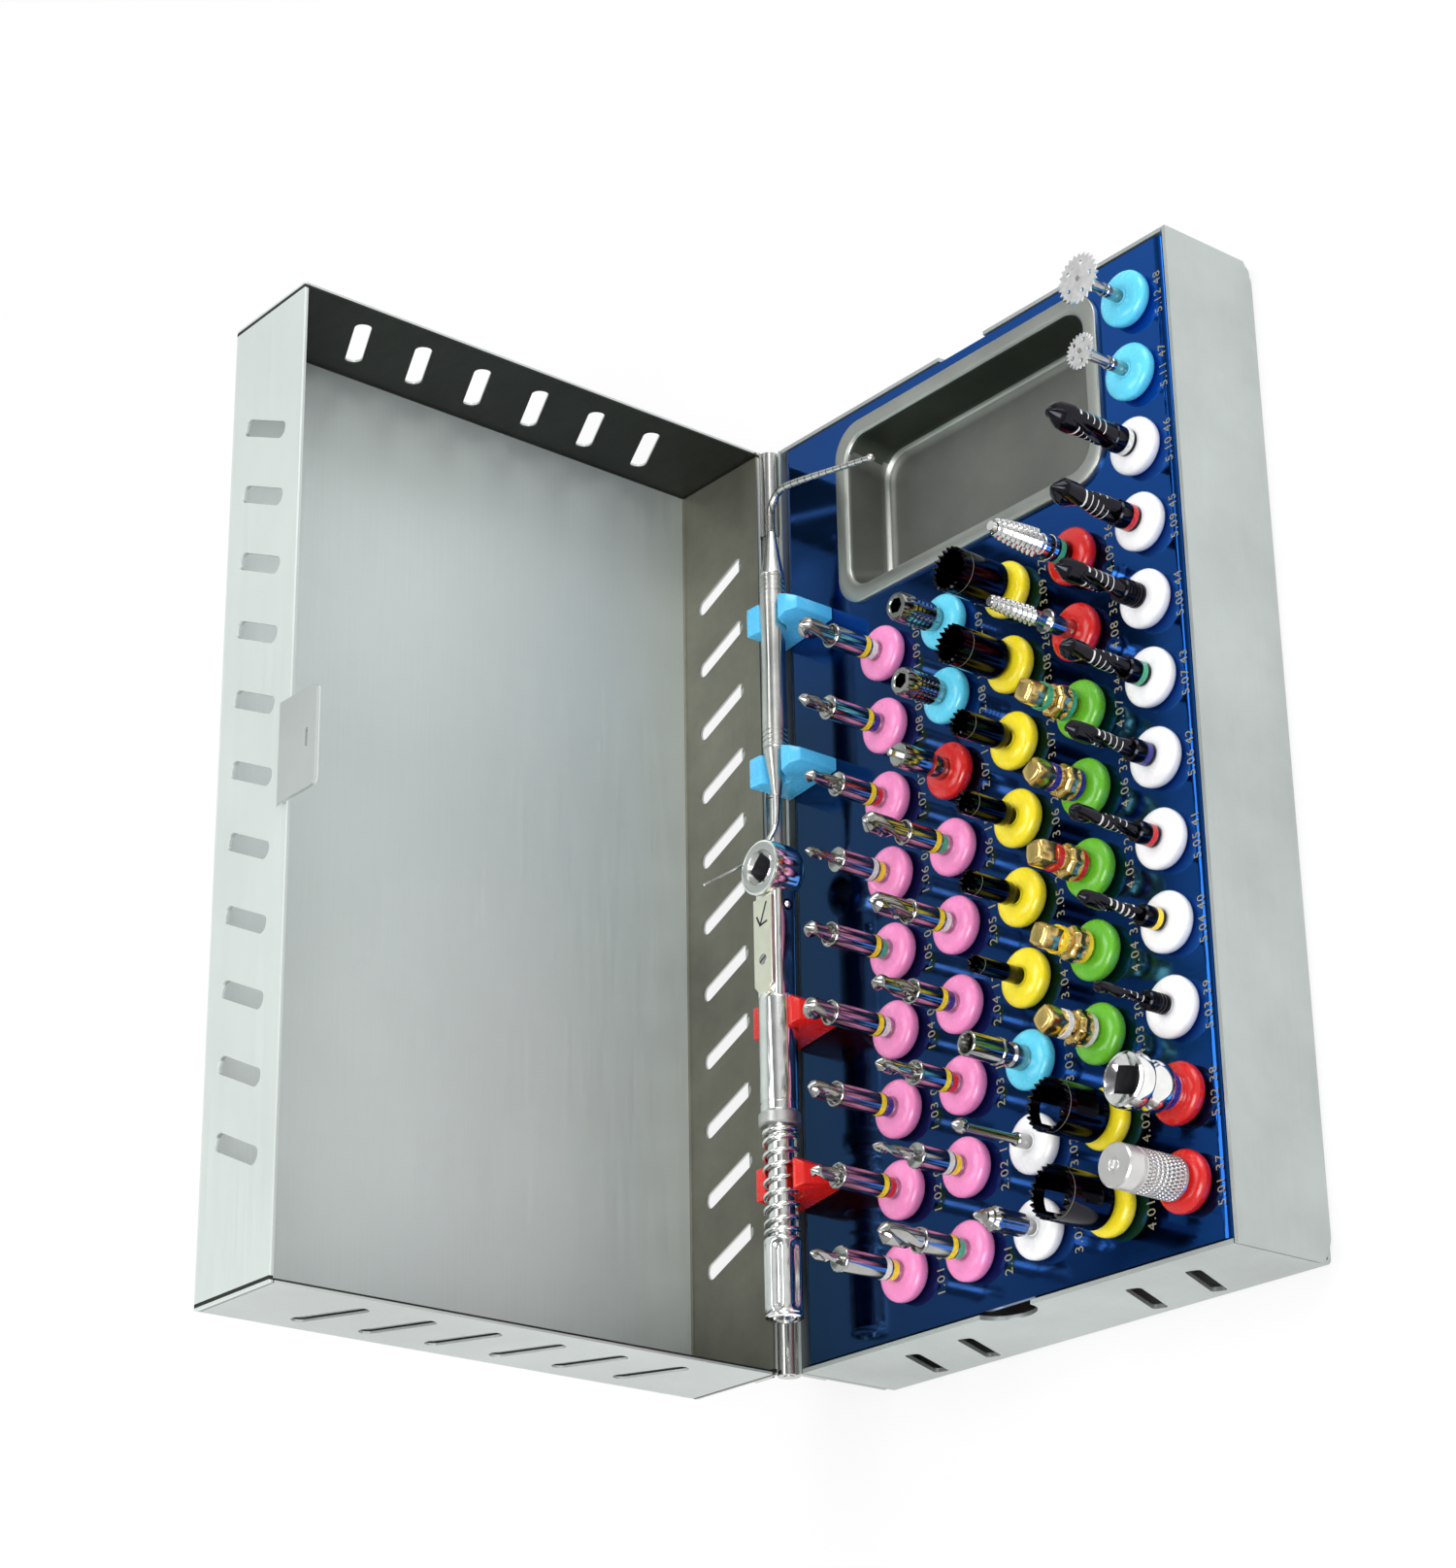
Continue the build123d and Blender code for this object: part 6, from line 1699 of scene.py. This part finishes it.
@dataclass
class Clips(Group):
    """Silicone clips: soft-edged blocks with an open round slot, standing on the plate."""

    front: float = 7.45
    back: float = 6.5
    edge_radius: float = 0.3
    sharp: float = 0.5

    def block(self, axis: tuple[float, float], x: float, length: float, slot: float, outline: list[tuple[float, float]],
              finish: Finish, toe: float | None = None) -> Blank:
        """One clip.

        Args:
            axis: (y, z) of the bar that it holds.
            x: Middle of the clip along the hinge.
            length: Its size along the hinge.
            slot: Radius of the slot.
            outline: (y, z) points from the slot's front lip round the block to its back lip, relative to the axis.
            finish: Its rubber.
            toe: Width of its narrowed front, if it is narrowed.

        Returns:
            The form.
        """
        blank = Blank(finish)
        arc = [(slot * math.cos(a), slot * math.sin(a)) for a in (i * math.pi / 10 for i in range(0, -11, -1))]
        points = [*outline, *arc]
        _, edges = blank.line(((x - length / 2, axis[0] + y, axis[1] + z) for y, z in points), closed=True)
        made = bmesh.ops.triangle_fill(blank.shape, use_beauty=True, use_dissolve=True, edges=edges)
        blank.raised(only(Face, made["geom"]), (length, 0, 0))
        if toe is not None:
            for vert in blank.shape.verts:
                share = (axis[0] - slot - vert.co.y) / (self.front - slot)
                if share > 0:
                    vert.co.x = x + (vert.co.x - x) * (1 - share * (1 - toe / length))
        rims = [edge for edge in blank.shape.edges if len(edge.link_faces) == 2 and edge.calc_face_angle() > self.sharp]
        blank.soften(rims, self.edge_radius, clamped=True)
        return blank.painted()

    def stem(self, x: float, y: float, finish: Finish) -> Blank:
        """Stem through the plate with its lip."""
        profile = [(1.95, 0.4), (1.95, -1.0), (2.5, -1.05), (2.4, -1.6), (2.0, -2.9), (1.7, -3.0)]
        return Blank(finish, 28).pillar(profile).moved((x, y, PLATE_TOP))

    def build(self) -> None:
        """Make the probe's blue clips and the wrench's red clips."""
        base = PLATE_TOP - PROBE_AXIS[1]
        top = RIM_Z + 10.5 - PROBE_AXIS[1]
        back = RIM_Z + 10.0 - PROBE_AXIS[1]
        blue = self.piece("probe_holding_clips")
        for x in (20.8, 52.9):
            outline = [(-2.6, 0.1), (-3.5, top), (-5.85, top), (-self.front, top - 1.6), (-self.front, base),
                       (self.back, base), (self.back, back), (3.2, back), (2.6, 0.1)]
            blue.add(self.block(PROBE_AXIS, x, 6.0, 2.6, outline, Finish.CLIP_BLUE, 2.6))
            blue.add(self.stem(x, PROBE_AXIS[0], Finish.CLIP_BLUE))
        blue.done(Finish.CLIP_BLUE, "probe_clips")
        base = PLATE_TOP - WRENCH_AXIS[1]
        top = RIM_Z + 10.6 - WRENCH_AXIS[1]
        red = self.piece("wrench_holding_clips")
        for x, slot in ((-61.8, 3.85), (-30.4, 3.7)):
            outline = [(-slot, top), (-self.front + 2.9, top), (-self.front + 1.7, top - 1.2),
                       (-self.front, base + 1.2), (-self.front, base), (self.back, base), (self.back, top),
                       (slot, top)]
            red.add(self.block(WRENCH_AXIS, x, 6.3, slot, outline, Finish.CLIP_RED, 2.0))
            red.add(self.stem(x, WRENCH_AXIS[0], Finish.CLIP_RED))
        red.done(Finish.CLIP_RED, "wrench_clips")


@dataclass
class Probe(Group):
    """Double-ended probe with a satin handle between two tapers."""

    BODY = "probe"

    lower: float = 24.6
    upper: float = 60.5
    radius: float = 2.5

    def handle(self) -> Blank:
        """Handle with three turned grooves near each end."""
        profile = [(self.radius - 0.15, self.lower), (self.radius, self.lower + 0.2)]
        middle = (self.lower + self.upper) / 2
        for start in (self.lower + 0.6, self.upper - 3.4):
            for i in range(3):
                at = start + i * 1.0
                profile += [(self.radius, at), (self.radius - 0.22, at + 0.12), (self.radius - 0.22, at + 0.38),
                            (self.radius, at + 0.5)]
            if start < middle:
                profile += [(self.radius, start + 4), (self.radius - 0.18, middle), (self.radius, self.upper - 5)]
        profile += [(self.radius, self.upper - 0.2), (self.radius - 0.15, self.upper)]
        return Blank(Finish.SATIN, 48).pillar(profile).laid(PROBE_AXIS)

    def taper(self, shoulder: float, step: float) -> Blank:
        """Taper from the handle to a tip's neck, with a turned joint at the shoulder."""
        profile = [(self.radius - 0.02, 0.0), (self.radius - 0.02, 0.35), (self.radius - 0.2, 0.45),
                   (self.radius - 0.2, 0.7), (self.radius - 0.1, 0.8), (1.98, 3.0), (1.45, 6.2), (1.0, 9.2),
                   (0.9, 10.1)]
        return Blank(Finish.SATIN, 40).pillar([(r, shoulder + step * z) for r, z in profile]).laid(PROBE_AXIS)

    def build(self) -> None:
        """Make the handle and both tips."""
        y, z = PROBE_AXIS
        self.piece("turned_probe_handle", self.handle()).done(Finish.SATIN, "probe_handle")
        marked = self.piece("graduated_ball_tip", self.taper(self.upper, 1.0))
        bend = [(70.0, y, z, 0.85), (72.4, y, z, 0.8), (76.6, y, z, 0.76), (79.2, y - 2.6, z, 0.72),
                (78.9, y - 7.0, z, 0.68), (77.0, y - 17.5, z, 0.62), (74.8, 17.2, z, 0.56)]
        marked.add(Blank(Finish.GRADUATED).tube(bend))
        marked.add(Blank(Finish.SATIN).ball(0.82, 20, 12).moved((74.7, 16.95, z)))
        marked.done(Finish.SATIN, "probe_marked_tip", smooth=50)
        needle = self.piece("curved_needle_tip", self.taper(self.lower, -1.0))
        curve = [(14.6, y, z, 0.8), (11.5, y, z, 0.66), (7.6, y + 0.4, z, 0.52), (3.0, 52.6, z + 1.0, 0.42),
                 (-0.6, 52.8, 38.5, 0.36), (-5.1, 52.8, 45.4, 0.22)]
        needle.add(Blank(Finish.SATIN).tube(curve))
        needle.done(Finish.SATIN, "probe_needle_tip", smooth=50)


@dataclass
class SeatNumbers(Group):
    """Plain numbers lasered into the plate beside the seats: column, row and a running count, along the hinge."""

    rows: int = 9
    front: int = 4
    front_rows: int = 12
    size: float = 2.8
    drop: float = 8.9
    front_size: float = 2.5
    front_drop: float = 7.5
    shift: float = 1.0
    lift: float = 0.02

    def build(self) -> None:
        """Write one piece with all numbers."""
        shape = bmesh.new()
        for column in range(self.front + 1):
            at_front = column == self.front
            for row in range(self.front_rows if at_front else self.rows):
                text = bpy.data.curves.new("number", "FONT")
                text.body = f"{column + 1}.{row + 1:02d} {self.rows * column + row + 1:02d}"
                text.size = (self.front_size if at_front else self.size) * MM
                text.align_x = "CENTER"
                text.space_character = 1.15
                text.resolution_u = 3
                at = seat(column, row)
                drop = self.front_drop if at_front else self.drop
                pour(text, shape, Vector((at.x - self.shift, at.y - drop, PLATE_TOP + self.lift)) * MM)
        mesh = mesh_of("seat_numbers", shape)
        mesh.materials.append(self.wardrobe.material(Finish.ENGRAVED))
        numbers = added("seat_numbers", mesh)
        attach(numbers, "tray")
        Finish.PLATE.slot
        log.info("seat_numbers: %d faces", len(mesh.polygons))


@dataclass
class Studio:
    """Floor, lamps, world and camera."""

    floor_radius: float = 4.0
    floor_gap: float = 0.0002
    glow: float = 0.72
    aim: Colour = (0.0, 0.0, 0.05)
    lens: float = 82.21
    eye: Colour = (-0.25165, -0.43252, 0.44082)
    ahead: Colour = (0.3924, 0.7086, -0.5864)
    up: Colour = (0.9197, -0.3125, 0.2377)

    def floor(self) -> None:
        """Pale floor that shows as white to the camera and in reflections, with the object's soft shadow."""
        shape = bmesh.new()
        bmesh.ops.create_circle(shape, cap_ends=True, segments=96, radius=self.floor_radius)
        mesh = mesh_of("studio_floor", shape)
        floor = added("studio_floor", mesh)
        floor.location.z = -self.floor_gap
        g = Graph("floor_pale")
        g.feed(g.shader, Base_Color=g.tones(g.noise(14.0), grey(0.86), 0.84 / 0.86, 0.88 / 0.86), Roughness=0.9,
               Specular_IOR_Level=0.1)
        rays = g.add("ShaderNodeLightPath").outputs
        seen = g.math("MAXIMUM", rays["Is Camera Ray"], rays["Is Glossy Ray"])
        share = g.math("MULTIPLY", g.math("MAXIMUM", seen, rays["Is Transmission Ray"]), self.glow)
        glow = g.feed(g.add("ShaderNodeEmission"), Strength=1.0)
        g.feed(g.output, Surface=g.mix_shader(share, g.shader, glow))
        mesh.materials.append(g.material)

    def lamp(self, name: str, place: Colour, size: tuple[float, float], power: float) -> None:
        """Rectangular soft box aimed at the tray.

        Args:
            name: Name of the lamp.
            place: Where it hangs, in metres.
            size: Its width and height, in metres.
            power: Watts.
        """
        data = bpy.data.lights.new(name, "AREA")
        data.shape = "RECTANGLE"
        data.size, data.size_y = size
        data.energy = power
        lamp = added(name, data)
        lamp.location = place
        lamp.rotation_euler = (Vector(self.aim) - Vector(place)).to_track_quat("-Z", "Y").to_euler()

    def world(self) -> None:
        """Dim room that is paler near the horizon, behind plain white paper."""
        world = bpy.data.worlds.new("studio_room")
        bpy.context.scene.world = world
        world.use_nodes = True
        room = Tree(world.node_tree)
        heights = room.axes(room.add("ShaderNodeTexCoord").outputs["Generated"])
        tint = room.ramp(heights[2], (0.0, (0.62, 0.63, 0.63)), (0.62, (0.86, 0.87, 0.87)),
                         (0.85, (0.30, 0.31, 0.32)), (1.0, (0.10, 0.10, 0.11)))
        back = room.feed(world.node_tree.nodes["Background"], Color=tint, Strength=0.8)
        paper = room.feed(room.add("ShaderNodeBackground"), Color=(1.0, 1.0, 1.0, 1.0))
        seen = room.add("ShaderNodeLightPath").outputs["Is Camera Ray"]
        room.feed(world.node_tree.nodes["World Output"], Surface=room.mix_shader(seen, back, paper))

    def camera(self) -> None:
        """Camera above the near front corner, rolled so that the hinge runs up the picture."""
        data = bpy.data.cameras.new("camera")
        data.lens = self.lens
        data.sensor_width = 36.0
        camera = added("camera", data)
        back = -Vector(self.ahead).normalized()
        up = Vector(self.up).normalized()
        right = up.cross(back).normalized()
        up = back.cross(right)
        turn = Matrix((right, up, back)).transposed().to_4x4()
        camera.matrix_world = Matrix.Translation(self.eye) @ turn
        data.clip_start = 0.01
        data.clip_end = 50.0
        bpy.context.scene.camera = camera

    def build(self) -> None:
        """Set up the whole studio."""
        self.floor()
        self.lamp("key_light", (-0.9, -1.1, 1.5), (1.1, 1.1), 27.0)
        self.lamp("top_light", (0.2, 0.3, 1.8), (1.4, 0.9), 14.0)
        self.lamp("side_light", (1.3, -0.9, 0.7), (0.9, 0.9), 10.0)
        self.world()
        self.camera()
        bpy.context.scene.view_settings.view_transform = "Standard"


def main() -> None:
    """Build the cassette's pieces in order and report each of them."""
    logging.basicConfig(level=logging.INFO, format="%(name)s: %(message)s")
    wardrobe = Wardrobe()
    slots = {finish.slot: finish for finish in reversed(Finish)}
    for part in frame["record"]["subparts"]:
        wardrobe.dress(part["node"], slots[part["material_slot"]])
    wardrobe.dress("lid_shell", Finish.LID)
    for node in ("base_hinge_leaf", "lid_hinge_leaf", "hinge_pin"):
        wardrobe.dress(node, Finish.HINGE)
    for group in (Dish, Plugs, StepDrills, Trephines, MarkedDrills, Saws, GoldDrivers, HandDrivers, Taps, Wrench, Clips,
                  Probe, SeatNumbers):
        group(wardrobe).build()
    Studio().build()
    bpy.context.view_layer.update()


if __name__ == "__main__":
    main()
